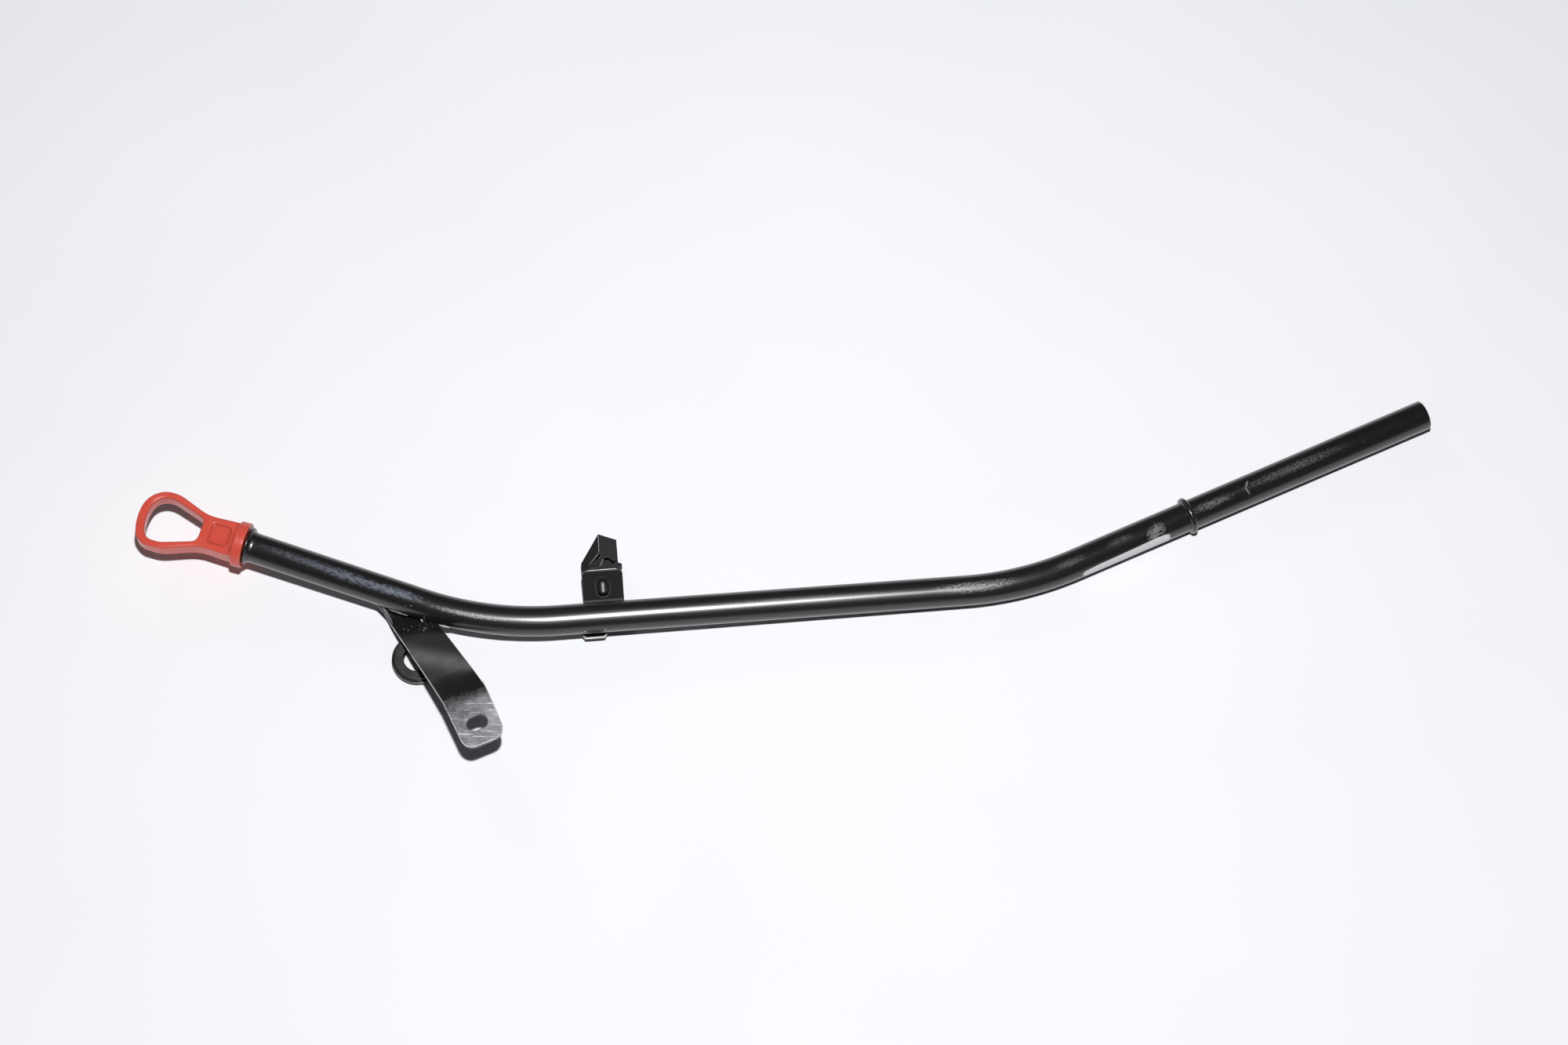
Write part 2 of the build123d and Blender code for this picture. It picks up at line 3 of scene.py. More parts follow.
import bmesh
import bpy
import numpy as np
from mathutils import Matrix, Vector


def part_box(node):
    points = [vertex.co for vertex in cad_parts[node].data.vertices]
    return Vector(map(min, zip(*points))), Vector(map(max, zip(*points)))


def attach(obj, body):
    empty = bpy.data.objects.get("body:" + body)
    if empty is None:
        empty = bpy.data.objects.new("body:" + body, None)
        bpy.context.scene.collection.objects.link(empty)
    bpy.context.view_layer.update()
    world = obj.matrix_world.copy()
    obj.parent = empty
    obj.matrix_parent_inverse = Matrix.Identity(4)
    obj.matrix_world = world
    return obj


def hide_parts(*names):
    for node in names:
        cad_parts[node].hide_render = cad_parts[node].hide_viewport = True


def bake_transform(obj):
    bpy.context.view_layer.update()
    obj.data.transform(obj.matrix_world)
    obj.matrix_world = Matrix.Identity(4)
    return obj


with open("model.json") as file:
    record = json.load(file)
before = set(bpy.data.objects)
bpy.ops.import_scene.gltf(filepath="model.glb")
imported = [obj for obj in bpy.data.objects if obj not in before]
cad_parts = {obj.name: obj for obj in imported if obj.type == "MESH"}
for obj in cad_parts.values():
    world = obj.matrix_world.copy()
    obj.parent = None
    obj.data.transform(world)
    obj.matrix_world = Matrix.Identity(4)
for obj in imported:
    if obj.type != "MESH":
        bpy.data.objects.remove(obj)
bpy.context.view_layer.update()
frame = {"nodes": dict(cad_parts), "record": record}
nodes = frame["nodes"]

# Where the part lies, in metres: the tube's lip, the run between its bends, the side and the top of its plane
SEAL_DEPTH = 0.006
OUTWARD = np.array(frame["record"]["behaviour"]["joints"][0]["axis"])
LIP = np.mean(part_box("plug_seal"), 0) + SEAL_DEPTH * OUTWARD
RUN = np.array([0.995837, 0.088772, -0.020679])
SIDE = np.array([-0.087461, 0.994511, 0.057439])
TOP = np.array([0.025665, -0.055392, 0.998135])

# Guide tube
TUBE_RADIUS = 0.0065
TUBE_WALL = 0.001
BEND_RADIUS = 0.142
ENTRY_RUN = 0.0786
MIDDLE_RUN = 0.1733
LOWER_RUN = 0.1694
FIRST_BEND = np.radians(23.94)
SECOND_BEND = np.radians(19.8)
TUBE_LENGTH = ENTRY_RUN + MIDDLE_RUN + LOWER_RUN + BEND_RADIUS * (FIRST_BEND + SECOND_BEND)
BELL_LENGTH = 0.0036
BELL_GROWTH = 0.0016
LIP_ROLL = 0.00062
BEAD_AT = TUBE_LENGTH - 0.1153
BEAD_HALF_WIDTH = 0.0014
BEAD_HEIGHT = 0.00165
END_CHAMFER = 0.0004
TUBE_COLUMNS = 96

# Blade: its section, its tip, its level marks, and how far it is drawn
BLADE_START = 0.01005
BLADE_END = TUBE_LENGTH - 0.015
BLADE_WIDTH = 0.005
BLADE_THICKNESS = 0.0009
BLADE_ROUNDING = 0.3
BLADE_TIP_RADIUS = 0.0022
MARKED_LENGTH = 0.036
LEVEL_MARKS = BLADE_END - np.array([0.009, 0.031])
LEVEL_MARK_RADIUS = 0.001
LEVEL_MARK_FLOOR = 0.6
LEVEL_MARK_LEFT = 0.1

# Mounting arm: its own axes, the slope and bow of its face, its two edges from root to tip
ARM_ROOT = LIP + np.array([0.071591, -0.024409, -0.003195])
ALONG_ARM = np.array([0.4079, -0.9110, -0.0610])
ACROSS_ARM = np.array([0.9127, 0.4087, -0.0008])
ARM_SLOPE = np.radians(25.94)
SLOPE_NORMAL = np.cos(ARM_SLOPE) * TOP - np.sin(ARM_SLOPE) * ALONG_ARM
SLOPE_FOOT = 0.00212
ROOT_LEVEL = -0.00655
BOW_RADIUS = 0.060
BOW_MIDDLE_RADIUS = BOW_RADIUS - 0.001
CREST_AT = 0.05285
BOW_START = CREST_AT - BOW_MIDDLE_RADIUS * np.tan(ARM_SLOPE / 2) * np.cos(ARM_SLOPE)
BOW_END = CREST_AT + BOW_MIDDLE_RADIUS * np.tan(ARM_SLOPE / 2)
TIP_LEVEL = 0.01802
ARM_END = 0.0765
TIP_CORNER = 0.005
ARM_LEFT = np.array([-0.01275, -0.0078, -0.0073])
ARM_RIGHT = np.array([0.01105, 0.0107])

# Where the arm's paint has gone, the slot in its tip, and the swell of its face
BARE_FROM = 0.0545
CHIP_REACH = 0.009
SLOT_AT = np.array([0.0668, 0.0017])
SWELL_FROM = 0.021
SWELL_TO = 0.068
SWELL_DEPTH = 0.0041
SWELL_SKEW = 0.9

# Pale edge of the arm, partly wear and partly a painted reflection: where it starts and ends, how far it is
# sunk, and how many points it takes to fade
EDGE_START = 0.002
EDGE_FINISH = CREST_AT - 0.004
EDGE_RADIUS = 0.00024
EDGE_SUNK = 0.00022
EDGE_FADE = 12

# Pressed dart: its start along and across the arm, its reach, its ridge, and its nub with a painted highlight
# on it
DART_START = np.array([0.0078, 0.0002])
DART_REACH = np.array([0.0060, -0.0020])
DART_HALF_WIDTH = 0.0015
DART_RIDGE = 0.0009
NUB_HEIGHT = 0.0019
NUB_PLACE = 0.14
NUB_SPREAD = 0.17
NUB_AT = np.array([0.0087, -0.0001, 0.0026])
NUB_GLINT = 0.0017

# Weld toe: its start on the arm's face, the corner it rounds, and its end on the tube
TOE_START = np.array([0.0045, -0.0120, -0.0003])
TOE_CORNER = np.array([-0.0045, -0.0115, -0.0048])
TOE_END = 0.0570
TOE_ANGLE = np.radians(-121.0)
TOE_SUNK = 0.0006
TOE_HALF_WIDTH = 0.0010
TOE_HALF_HEIGHT = 0.0015

# Balls of weld metal: along and round the tube, along and across the arm, and two larger pale ones by the
# tongue that stand as painted highlights
TUBE_SPATTER = [(0.0705, -42), (0.0738, -46), (0.0760, -40), (0.0823, -72), (0.0826, -96), (0.0850, -104)]
ARM_SPATTER = [(0.0097, 0.0035), (0.0118, 0.0042), (0.0133, 0.0028), (0.0092, -0.0052), (0.0100, -0.0072),
               (0.0087, -0.0086), (0.0120, -0.0030)]
TONGUE_GLINTS = [(0.1487, -78), (0.1572, -78)]
SPATTER_STAND = 0.00003
SPATTER_LEAST = 0.00012
SPATTER_SPREAD = 0.00009
TONGUE_GLINT_RADIUS = 0.0003
BALL_ROWS = 9
BALL_COLUMNS = 12

# Clip bracket: the middle of its weld, its plate, the corners of its tongue, and the stud that comes through
CLIP_AT = LIP + np.array([0.152490, -0.030619, -0.005620])
PLATE_RISE = np.radians(38.0)
PLATE_FOLD = 0.0101
PLATE_LENGTH = 0.0136
PLATE_EDGE_LENGTH = 0.0132
PLATE_EDGE_RADIUS = 0.00019
TONGUE_RUN = np.array([-0.01035, -0.00885, -0.00085, 0.00065])
TONGUE_SIDE = np.array([-0.0046, -0.0065, -0.0065, -0.0046])
TONGUE_EDGE_HALF_WIDTH = 0.00042
TONGUE_EDGE_HALF_HEIGHT = 0.00012
STUD_AT = np.array([0.0, 0.0139, -0.00167])
STUD_LEAN = np.radians(14.0)
STUD_LENGTH = 0.0058
STUD_PROUD = 0.0003
STUD_HALF_WIDTH = 0.0017
STUD_HALF_HEIGHT = 0.0011

# Camera of the photograph: 65 degrees above the table, long lens
VIEW_TARGET = LIP + np.array([0.228268, 0.01829, -0.015805])
VIEW_ELEVATION = np.radians(65.0)
VIEW_DISTANCE = 1.8581
VIEW_LENS = 99.0
VIEW_SENSOR = 36.0

# Lamps: a small flash above the lens, aimed beyond the part, a soft card at the far left, and a dim room
FLASH_ELEVATION = np.radians(76.2)
FLASH_DISTANCE = 1.9
FLASH_ASIDE = 0.018
FLASH_AIM = VIEW_TARGET + np.array([0, 0.15, 0])
FLASH_SIZE = 0.08
FLASH_POWER = 20.7
FLASH_SPREAD = 140.0
CARD_AT = VIEW_TARGET + np.array([-0.875, 1.45, 1.09])
CARD_SIZE = 0.46
CARD_POWER = 1.9
ROOM_LIGHT = 0.04
TABLE_LEVEL = -0.00005


def put_mesh(name, points, faces, uv=None):
    """An object at the origin from whole arrays: points, faces as rows of corners, uv per face corner."""
    mesh = bpy.data.meshes.new(name)
    mesh.from_pydata(points.reshape(-1, 3).tolist(), [], faces.tolist())
    if uv is not None:
        layer = mesh.uv_layers.new(name="surface")
        layer.data.foreach_set("uv", np.asarray(uv, np.float32).ravel())
    else:
        # Points that fall together at a pole become one
        shell = bmesh.new()
        shell.from_mesh(mesh)
        bmesh.ops.remove_doubles(shell, verts=shell.verts, dist=1e-7)
        shell.to_mesh(mesh)
        shell.free()
    mesh.polygons.foreach_set("use_smooth", np.ones(len(mesh.polygons), bool))
    mesh.update()
    piece = bpy.data.objects.new(name, mesh)
    bpy.context.scene.collection.objects.link(piece)
    return piece


def grid_faces(rows, columns, wrap_rows=False, wrap_columns=True):
    """Quads between neighbours on a grid of rows by columns, joined round either way where it wraps."""
    i = np.arange(rows if wrap_rows else rows - 1)[:, None]
    j = np.arange(columns if wrap_columns else columns - 1)[None, :]
    k = (i + 1) % rows
    m = (j + 1) % columns
    quads = [i * columns + j, k * columns + j, k * columns + m, i * columns + m]
    return np.stack(np.broadcast_arrays(*quads), -1).reshape(-1, 4)


def centre_line(s):
    """Middle of the tube at distance s from its lip, its heading and its side.

    The heading holds along each straight run and turns evenly through each bend. The point is the lip
    plus the running sum of the heading.
    """
    turns = np.array([-FIRST_BEND, -FIRST_BEND, 0, 0, SECOND_BEND, SECOND_BEND])
    lengths = [0, ENTRY_RUN, BEND_RADIUS * FIRST_BEND, MIDDLE_RUN, BEND_RADIUS * SECOND_BEND, LOWER_RUN]
    fine = np.linspace(0, TUBE_LENGTH, 6001)
    angle = np.interp(fine, np.cumsum(lengths), turns)[:, None]
    heading = np.cos(angle) * RUN + np.sin(angle) * SIDE
    steps = (heading[1:] + heading[:-1]) / 2 * (fine[1] - fine[0])
    path = LIP + np.vstack([np.zeros(3), np.cumsum(steps, 0)])
    point = np.stack([np.interp(s, fine, path[:, axis]) for axis in range(3)], -1)
    angle = np.interp(s, np.cumsum(lengths), turns)[:, None]
    side = np.cos(angle) * SIDE - np.sin(angle) * RUN
    return point, np.cos(angle) * RUN + np.sin(angle) * SIDE, side


def bell_radius(s):
    """A trumpet arc that opens towards the lip."""
    bell = (BELL_LENGTH ** 2 + BELL_GROWTH ** 2) / (2 * BELL_GROWTH)
    into = np.clip(BELL_LENGTH - s, 0, None)
    return TUBE_RADIUS + bell - np.sqrt(bell ** 2 - into ** 2)


def outside_radius(s):
    """Tube's outside: a rolled lip before the trumpet arc, a round-backed bead, a broken edge at the end."""
    roll = np.sqrt(np.clip(LIP_ROLL ** 2 - (s - LIP_ROLL) ** 2, 0, None))
    rolled = TUBE_RADIUS + BELL_GROWTH - LIP_ROLL + roll
    mouth = np.maximum(rolled, bell_radius(np.maximum(s, LIP_ROLL)))
    radius = np.where(s < 2 * LIP_ROLL, mouth, bell_radius(s))
    ball = (BEAD_HALF_WIDTH ** 2 + BEAD_HEIGHT ** 2) / (2 * BEAD_HEIGHT)
    off = np.clip(np.abs(s - BEAD_AT), 0, ball)
    bead = BEAD_HEIGHT - ball + np.sqrt(ball ** 2 - off ** 2)
    radius += np.clip(np.where(off < BEAD_HALF_WIDTH, bead, 0), 0, None)
    return radius - np.clip(s - (TUBE_LENGTH - END_CHAMFER), 0, None)


def tube_piece():
    """Section turned about the tube's bent middle: outside from lip to end, then the bore back to the lip."""
    around = np.radians(np.linspace(-180, 180, TUBE_COLUMNS + 1))[:-1]
    lip = LIP_ROLL * (1 - np.cos(np.linspace(0, np.pi, 19)))
    bell = np.linspace(2 * LIP_ROLL, BELL_LENGTH, 14)[1:]
    bead = BEAD_AT + BEAD_HALF_WIDTH * 1.05 * np.sin(np.linspace(-np.pi / 2, np.pi / 2, 25))
    runs = np.linspace(BELL_LENGTH, TUBE_LENGTH - END_CHAMFER, 420)
    runs = runs[np.abs(runs - BEAD_AT) > BEAD_HALF_WIDTH * 1.06]
    out = np.sort(np.concatenate([lip, bell, bead, runs[1:], [TUBE_LENGTH]]))
    back = np.concatenate([np.linspace(TUBE_LENGTH, BELL_LENGTH, 90), bell[::-1][1:], lip[::-1]])
    s = np.concatenate([out, back])
    bore = bell_radius(back) - TUBE_WALL
    radius = np.concatenate([outside_radius(out), bore])
    point, _, side = centre_line(s)
    spoke = np.cos(around)[None, :, None] * TOP + np.sin(around)[None, :, None] * side[:, None, :]
    points = point[:, None, :] + radius[:, None, None] * spoke
    rows, columns = points.shape[:2]
    faces = grid_faces(rows, columns, wrap_rows=True)
    arc = np.append(around, np.pi) * TUBE_RADIUS
    along = np.append(s, s[0])
    u = np.broadcast_to(along[:, None], (rows + 1, columns + 1))
    v = np.broadcast_to(arc[None, :], (rows + 1, columns + 1))
    corners = [(slice(0, -1), slice(0, -1)), (slice(1, None), slice(0, -1)),
               (slice(1, None), slice(1, None)), (slice(0, -1), slice(1, None))]
    uv = np.stack([np.stack([u[c], v[c]], -1) for c in corners], 2)
    return put_mesh("tube_wall", points, faces, uv)


def blade_piece():
    """Flat oval section carried along the tube's middle, on edge, rounded off at the tip.

    Near a level mark its thickness falls with the distance to the mark, which dimples both its faces.
    """
    turn = np.linspace(0, 2 * np.pi, 48, endpoint=False)
    fine = np.linspace(BLADE_END - MARKED_LENGTH, BLADE_END, 160)
    s = np.concatenate([np.linspace(BLADE_START, BLADE_END - MARKED_LENGTH, 300)[:-1], fine])
    tip = np.clip(BLADE_TIP_RADIUS - (BLADE_END - s), 0, BLADE_TIP_RADIUS)
    half = BLADE_WIDTH / 2 - BLADE_TIP_RADIUS + np.sqrt(BLADE_TIP_RADIUS ** 2 - tip ** 2)
    flat = np.sign(np.cos(turn)) * np.abs(np.cos(turn)) ** BLADE_ROUNDING
    thick = np.sign(np.sin(turn)) * np.abs(np.sin(turn)) ** BLADE_ROUNDING
    across = half[:, None] * flat[None, :]
    mark = np.min(np.hypot(across[..., None], s[:, None, None] - LEVEL_MARKS), -1)
    depth = np.clip(mark / LEVEL_MARK_RADIUS - LEVEL_MARK_FLOOR, LEVEL_MARK_LEFT, 1.0)
    point, _, side = centre_line(s)
    sheet = BLADE_THICKNESS / 2 * thick[None, :] * depth
    points = point[:, None, :] + across[..., None] * TOP + sheet[..., None] * side[:, None, :]
    ends = np.stack([np.broadcast_to(point[e], points[0].shape) for e in (0, -1)])
    points = np.concatenate([ends[:1], points, ends[1:]])
    return put_mesh("blade_strip", points, grid_faces(*points.shape[:2]))


def unit(vectors):
    """Each vector divided by its own length."""
    return vectors / np.linalg.norm(vectors, axis=-1, keepdims=True)


def eased(count):
    """Parameter from nothing to one, half of one less a cosine, so that its steps are finest at both ends."""
    return (1 - np.cos(np.linspace(0, np.pi, count))) / 2


def blunt(t, power):
    """Share of a bar's size along it: root of one less a power, full in the middle and round at both ends."""
    return np.clip(1 - (2 * t - 1) ** power, 0, 1) ** 0.5


def arch(t, first, lean, last):
    """Curve from the first point to the last, drawn towards the middle one by twice t times one less t."""
    return ((1 - t) ** 2)[:, None] * first + (2 * t * (1 - t))[:, None] * lean + (t ** 2)[:, None] * last


def on_tube(s, angle, stand):
    """Point beside the tube, its spoke and its heading.

    It lies at distance s from the lip, along the spoke at that angle from the top, a stand off the wall.
    """
    point, heading, side = centre_line(s)
    spoke = np.cos(angle)[:, None] * TOP + np.sin(angle)[:, None] * side
    return point + (TUBE_RADIUS + stand) * spoke, spoke, heading


def on_slope(along, across, height):
    """Point of the arm's sloping face at distances along and across the arm, raised along its normal."""
    level = ROOT_LEVEL + (along - SLOPE_FOOT) * np.tan(ARM_SLOPE)
    flat = along[..., None] * ALONG_ARM + across[..., None] * ACROSS_ARM + level[..., None] * TOP
    return ARM_ROOT + flat + height[..., None] * SLOPE_NORMAL


def on_clip(points):
    """Places given along the run, to its side and above it, measured from the clip bracket's weld."""
    return CLIP_AT + np.asarray(points) @ np.stack([RUN, SIDE, TOP])


def rounded_bar(name, middle, wide, high, across, up):
    """Oval section carried along a line of middles: half width times cosine, half height times sine.

    The half sizes run to nothing at both ends, which closes the bar.
    """
    turn = np.linspace(0, 2 * np.pi, 32, endpoint=False)[None, :, None]
    across, up = (np.broadcast_to(way, middle.shape)[:, None, :] for way in (across, up))
    oval = wide[:, None, None] * np.cos(turn) * across + high[:, None, None] * np.sin(turn) * up
    points = middle[:, None, :] + oval
    return put_mesh(name, points, grid_faces(*points.shape[:2])[:, ::-1])


def dart_piece():
    """Pressed dart: a low rounded ridge down the arm's face that rises to a round nub beside the tube.

    The nub is a bell curve on top of the ridge, and the dart widens evenly away from it.
    """
    u = eased(70)
    fade = blunt(u, 2)
    place = DART_START + DART_REACH * u[:, None]
    middle = on_slope(place[:, 0], place[:, 1], np.zeros(70))
    high = fade * (DART_RIDGE + NUB_HEIGHT * np.exp(-((u - NUB_PLACE) / NUB_SPREAD) ** 2))
    wide = DART_HALF_WIDTH * fade ** 0.7 * (0.62 + 0.38 * u)
    heading = unit(middle[-1] - middle[0])
    return rounded_bar("dart_rib", middle, wide, high, np.cross(SLOPE_NORMAL, heading), SLOPE_NORMAL)


def arm_level(along):
    """Height of the arm's upper face: level root, straight slope, then a long bow over to the level tip."""
    slope = ROOT_LEVEL + np.clip(along - SLOPE_FOOT, 0, None) * np.tan(ARM_SLOPE)
    bow = TIP_LEVEL - BOW_RADIUS + np.sqrt(BOW_RADIUS ** 2 - np.clip(BOW_END - along, 0, BOW_RADIUS / 2) ** 2)
    return np.where(along > BOW_START, bow, slope)


def edge_piece():
    """Pale edge of the arm: a fine round bead down its left edge, round the tip and up its right edge, partly
    worn steel and partly a painted reflection of the floor.

    It is sunk below the face and behind the tip, so that it stays in the sheet's own box.
    """
    corner_from = ARM_END - TIP_CORNER
    left = np.linspace(EDGE_START, corner_from, 160)
    left_side = np.interp(left, [SLOPE_FOOT, CREST_AT, ARM_END], ARM_LEFT)
    corner = np.linspace(0, np.pi / 2, 24)[1:]
    right = np.linspace(corner_from, EDGE_FINISH, 60)[1:]
    right_side = np.interp(right, [CREST_AT, ARM_END], ARM_RIGHT)
    along = np.concatenate([left, corner_from + TIP_CORNER * np.sin(corner),
                            corner_from + TIP_CORNER * np.cos(corner), right])
    side = np.concatenate([left_side, ARM_LEFT[-1] + TIP_CORNER * (1 - np.cos(corner)),
                           ARM_RIGHT[-1] - TIP_CORNER * (1 - np.sin(corner)), right_side])
    level = arm_level(along) - EDGE_SUNK
    along = along - EDGE_SUNK * np.clip((along - corner_from) / TIP_CORNER, 0, 1)
    middle = ARM_ROOT + along[:, None] * ALONG_ARM + side[:, None] * ACROSS_ARM + level[:, None] * TOP
    from_end = np.minimum(np.arange(len(along)), np.arange(len(along))[::-1])
    size = EDGE_RADIUS * np.clip(from_end / EDGE_FADE, 0, 1) ** 0.5
    heading = unit(np.gradient(middle, axis=0))
    across = unit(np.cross(TOP, heading))
    return rounded_bar("arm_edge", middle, size, size, across, np.cross(heading, across))


def plate_edge_piece():
    """Top edge of the clip's plate, pale as partly wear and partly a painted highlight: a fine round bead
    between its rounded corners.
    """
    t = eased(60)
    top = np.array([0, PLATE_FOLD + PLATE_LENGTH * np.cos(PLATE_RISE),
                    ROOT_LEVEL + PLATE_LENGTH * np.sin(PLATE_RISE)])
    middle = on_clip(top + (t[:, None] - 0.5) * np.array([PLATE_EDGE_LENGTH, 0, 0]))
    size = PLATE_EDGE_RADIUS * blunt(t, 8)
    return rounded_bar("plate_edge", middle, size, size, SIDE, TOP)


def tongue_edge_piece():
    """Edge of the clip bracket's tongue, pale as partly wear and partly a painted highlight: a flat bead down
    one slant, along its end and up the other.
    """
    t = np.linspace(0, 3, 91)
    run, side = (np.interp(t, [0, 1, 2, 3], corners) for corners in (TONGUE_RUN, TONGUE_SIDE))
    middle = on_clip(np.stack([run, side, np.full(91, ROOT_LEVEL)], -1))
    size = blunt(t / 3, 8)
    across = np.cross(TOP, unit(np.gradient(middle, axis=0)))
    return rounded_bar("tongue_edge", middle, TONGUE_EDGE_HALF_WIDTH * size, TONGUE_EDGE_HALF_HEIGHT * size,
                       across, TOP)


def toe_piece():
    """Weld toe that rounds the corner where the arm's left edge leaves the tube: an oval bar on an arch."""
    t = eased(60)
    corner = ARM_ROOT + TOE_CORNER @ np.stack([ALONG_ARM, ACROSS_ARM, TOP])
    last, _, _ = on_tube(np.array([TOE_END]), np.array([TOE_ANGLE]), -TOE_SUNK)
    middle = arch(t, on_slope(*TOE_START), corner, last[0])
    heading = unit(np.gradient(middle, axis=0))
    across = unit(np.cross(TOP, heading))
    fade = np.sin(np.pi * t)
    return rounded_bar("weld_toe", middle, TOE_HALF_WIDTH * fade, TOE_HALF_HEIGHT * fade,
                       across, np.cross(heading, across))


def weld_piece(name, start, finish, angle, stand, radius):
    """Weld bead along the tube's side: its radius ripples with each puddle and dies at its ends.

    The ripples are two sines, 1.1 and 2.9 mm long.
    """
    u = np.linspace(0, 1, 90)
    s = start + (finish - start) * u
    middle, spoke, heading = on_tube(s, np.full(90, angle), stand)
    ripple = 1 + 0.10 * np.sin(2 * np.pi * s / 0.0011) + 0.06 * np.sin(2 * np.pi * s / 0.0029)
    size = radius * (1 - (2 * u - 1) ** 2) ** 0.8 * ripple
    return rounded_bar(name, middle, size, size * 0.85, np.cross(spoke, heading), spoke)


def spatter_piece():
    """Balls of weld metal: a sphere grid repeated at each place by the tube, the arm and the tongue; the two
    larger pale balls by the tongue stand as painted highlights.
    """
    by_tube, by_tongue = (on_tube(s, np.radians(degrees), SPATTER_STAND)[0]
                          for s, degrees in (np.transpose(TUBE_SPATTER), np.transpose(TONGUE_GLINTS)))
    by_arm = on_slope(*np.transpose(ARM_SPATTER), np.zeros(len(ARM_SPATTER)))
    places = np.concatenate([by_tube, by_arm, by_tongue])
    size = SPATTER_LEAST + SPATTER_SPREAD * np.sin(np.arange(len(places)) * 2.4) ** 2
    # The two balls by the tongue are larger pale dots that stand as painted highlights
    size[-len(by_tongue):] = TONGUE_GLINT_RADIUS
    across = np.linspace(0, 2 * np.pi, BALL_COLUMNS, endpoint=False)
    down = np.linspace(0, np.pi, BALL_ROWS)
    ball = np.stack([np.sin(down)[:, None] * np.cos(across), np.sin(down)[:, None] * np.sin(across),
                     np.cos(down)[:, None] * np.ones(BALL_COLUMNS)], -1)
    points = places[:, None, None, :] + size[:, None, None, None] * ball
    first = BALL_ROWS * BALL_COLUMNS * np.arange(len(places))
    faces = grid_faces(BALL_ROWS, BALL_COLUMNS)[None] + first[:, None, None]
    return put_mesh("weld_spatter", points, faces.reshape(-1, 4))


def sliver_piece(name, ends, width, thickness, bluntness):
    """Torn sliver: a thin ribbon along an arch between three places in mm, its width broken by two sines."""
    t = eased(40)
    first, lean, last = on_clip(np.array(ends) / 1000)
    middle = arch(t, first, lean, last)
    ragged = 1 + 0.18 * np.sin(23 * t) + 0.10 * np.sin(57 * t)
    fade = blunt(t, bluntness)
    heading = unit(last - first)
    across = unit(np.cross(TOP, heading))
    return rounded_bar(name, middle, width * fade * ragged, thickness * fade, across,
                       np.cross(heading, across))


def stud_piece():
    """Locking tang on the stud: a round-ended bar that leans out of the plate towards its lower end."""
    t = eased(50)
    fade = blunt(t, 6)
    heading = np.cos(STUD_LEAN) * SIDE + np.sin(STUD_LEAN) * TOP
    middle = on_clip(STUD_AT) + STUD_PROUD * TOP + (STUD_LENGTH * (t - 0.5))[:, None] * heading
    return rounded_bar("stud_tang", middle, STUD_HALF_WIDTH * fade, STUD_HALF_HEIGHT * fade, RUN,
                       np.cross(heading, RUN))


def linear(text):
    """An sRGB hex colour as linear red, green, blue and full alpha."""
    parts = np.array([int(text[i:i + 2], 16) for i in (1, 3, 5)]) / 255
    return (*np.where(parts <= 0.04045, parts / 12.92, ((parts + 0.055) / 1.055) ** 2.4), 1.0)


def add(tree, kind, inputs=None, **settings):
    """One node with its settings; an input is a value, or an output socket that is linked to it.

    Inputs go by name or number. Mix has its factor at 0, two numbers at 2 and 3, two colours at 6 and 7.
    Map Range has its value at 0, what it comes from at 1 and 2, what it becomes at 3 and 4.
    """
    node = tree.nodes.new(kind)
    for name, value in settings.items():
        setattr(node, name, value)
    for name, value in (inputs or {}).items():
        if isinstance(value, bpy.types.NodeSocket):
            tree.links.new(value, node.inputs[name])
        else:
            node.inputs[name].default_value = value
    return node


def new_material(name, ior=None):
    """An empty material with its shader and output."""
    material = bpy.data.materials.new(name)
    material.use_nodes = True
    tree = material.node_tree
    tree.nodes.clear()
    shader = add(tree, "ShaderNodeBsdfPrincipled", {"IOR": ior} if ior else None)
    add(tree, "ShaderNodeOutputMaterial", {"Surface": shader.outputs[0]})
    return material, tree, shader


def per(millimetres):
    """Pattern scale for a feature of that size."""
    return 1000.0 / millimetres


def scuff(tree, place, centre, half, turn, grain, ragged, crisp, straight=False):
    """Mask of a ragged patch: one at its middle, none beyond its half sizes, broken by streaks of that grain.

    The patch is an oval. Where it is straight, its distances are squared twice, which squares the oval off.
    """
    near = add(tree, "ShaderNodeMapping", {"Vector": place, "Location": centre, "Rotation": (0, 0, turn),
                                           "Scale": half}, vector_type="TEXTURE").outputs[0]
    if straight:
        near = add(tree, "ShaderNodeVectorMath", {0: near, 1: near}, operation="MULTIPLY").outputs[0]
        near = add(tree, "ShaderNodeVectorMath", {0: near, 1: near}, operation="MULTIPLY").outputs[0]
    fall = add(tree, "ShaderNodeTexGradient", {"Vector": near}, gradient_type="SPHERICAL")
    streak = add(tree, "ShaderNodeMapping", {"Vector": place, "Scale": (per(2.5 * grain), per(grain), 1)})
    noise = add(tree, "ShaderNodeTexNoise",
                {"Vector": streak.outputs[0], "Scale": 1.0, "Detail": 6.0, "Roughness": 0.7})
    gaps = add(tree, "ShaderNodeMath", {0: noise.outputs[0], 1: ragged, 2: 1 - 0.5 * ragged},
               operation="MULTIPLY_ADD")
    broken = add(tree, "ShaderNodeMath", {0: gaps.outputs[0], 1: fall.outputs[1]}, operation="MULTIPLY")
    return add(tree, "ShaderNodeMath", {0: broken.outputs[0], 1: crisp, 2: -0.2 * crisp},
               operation="MULTIPLY_ADD", use_clamp=True).outputs[0]


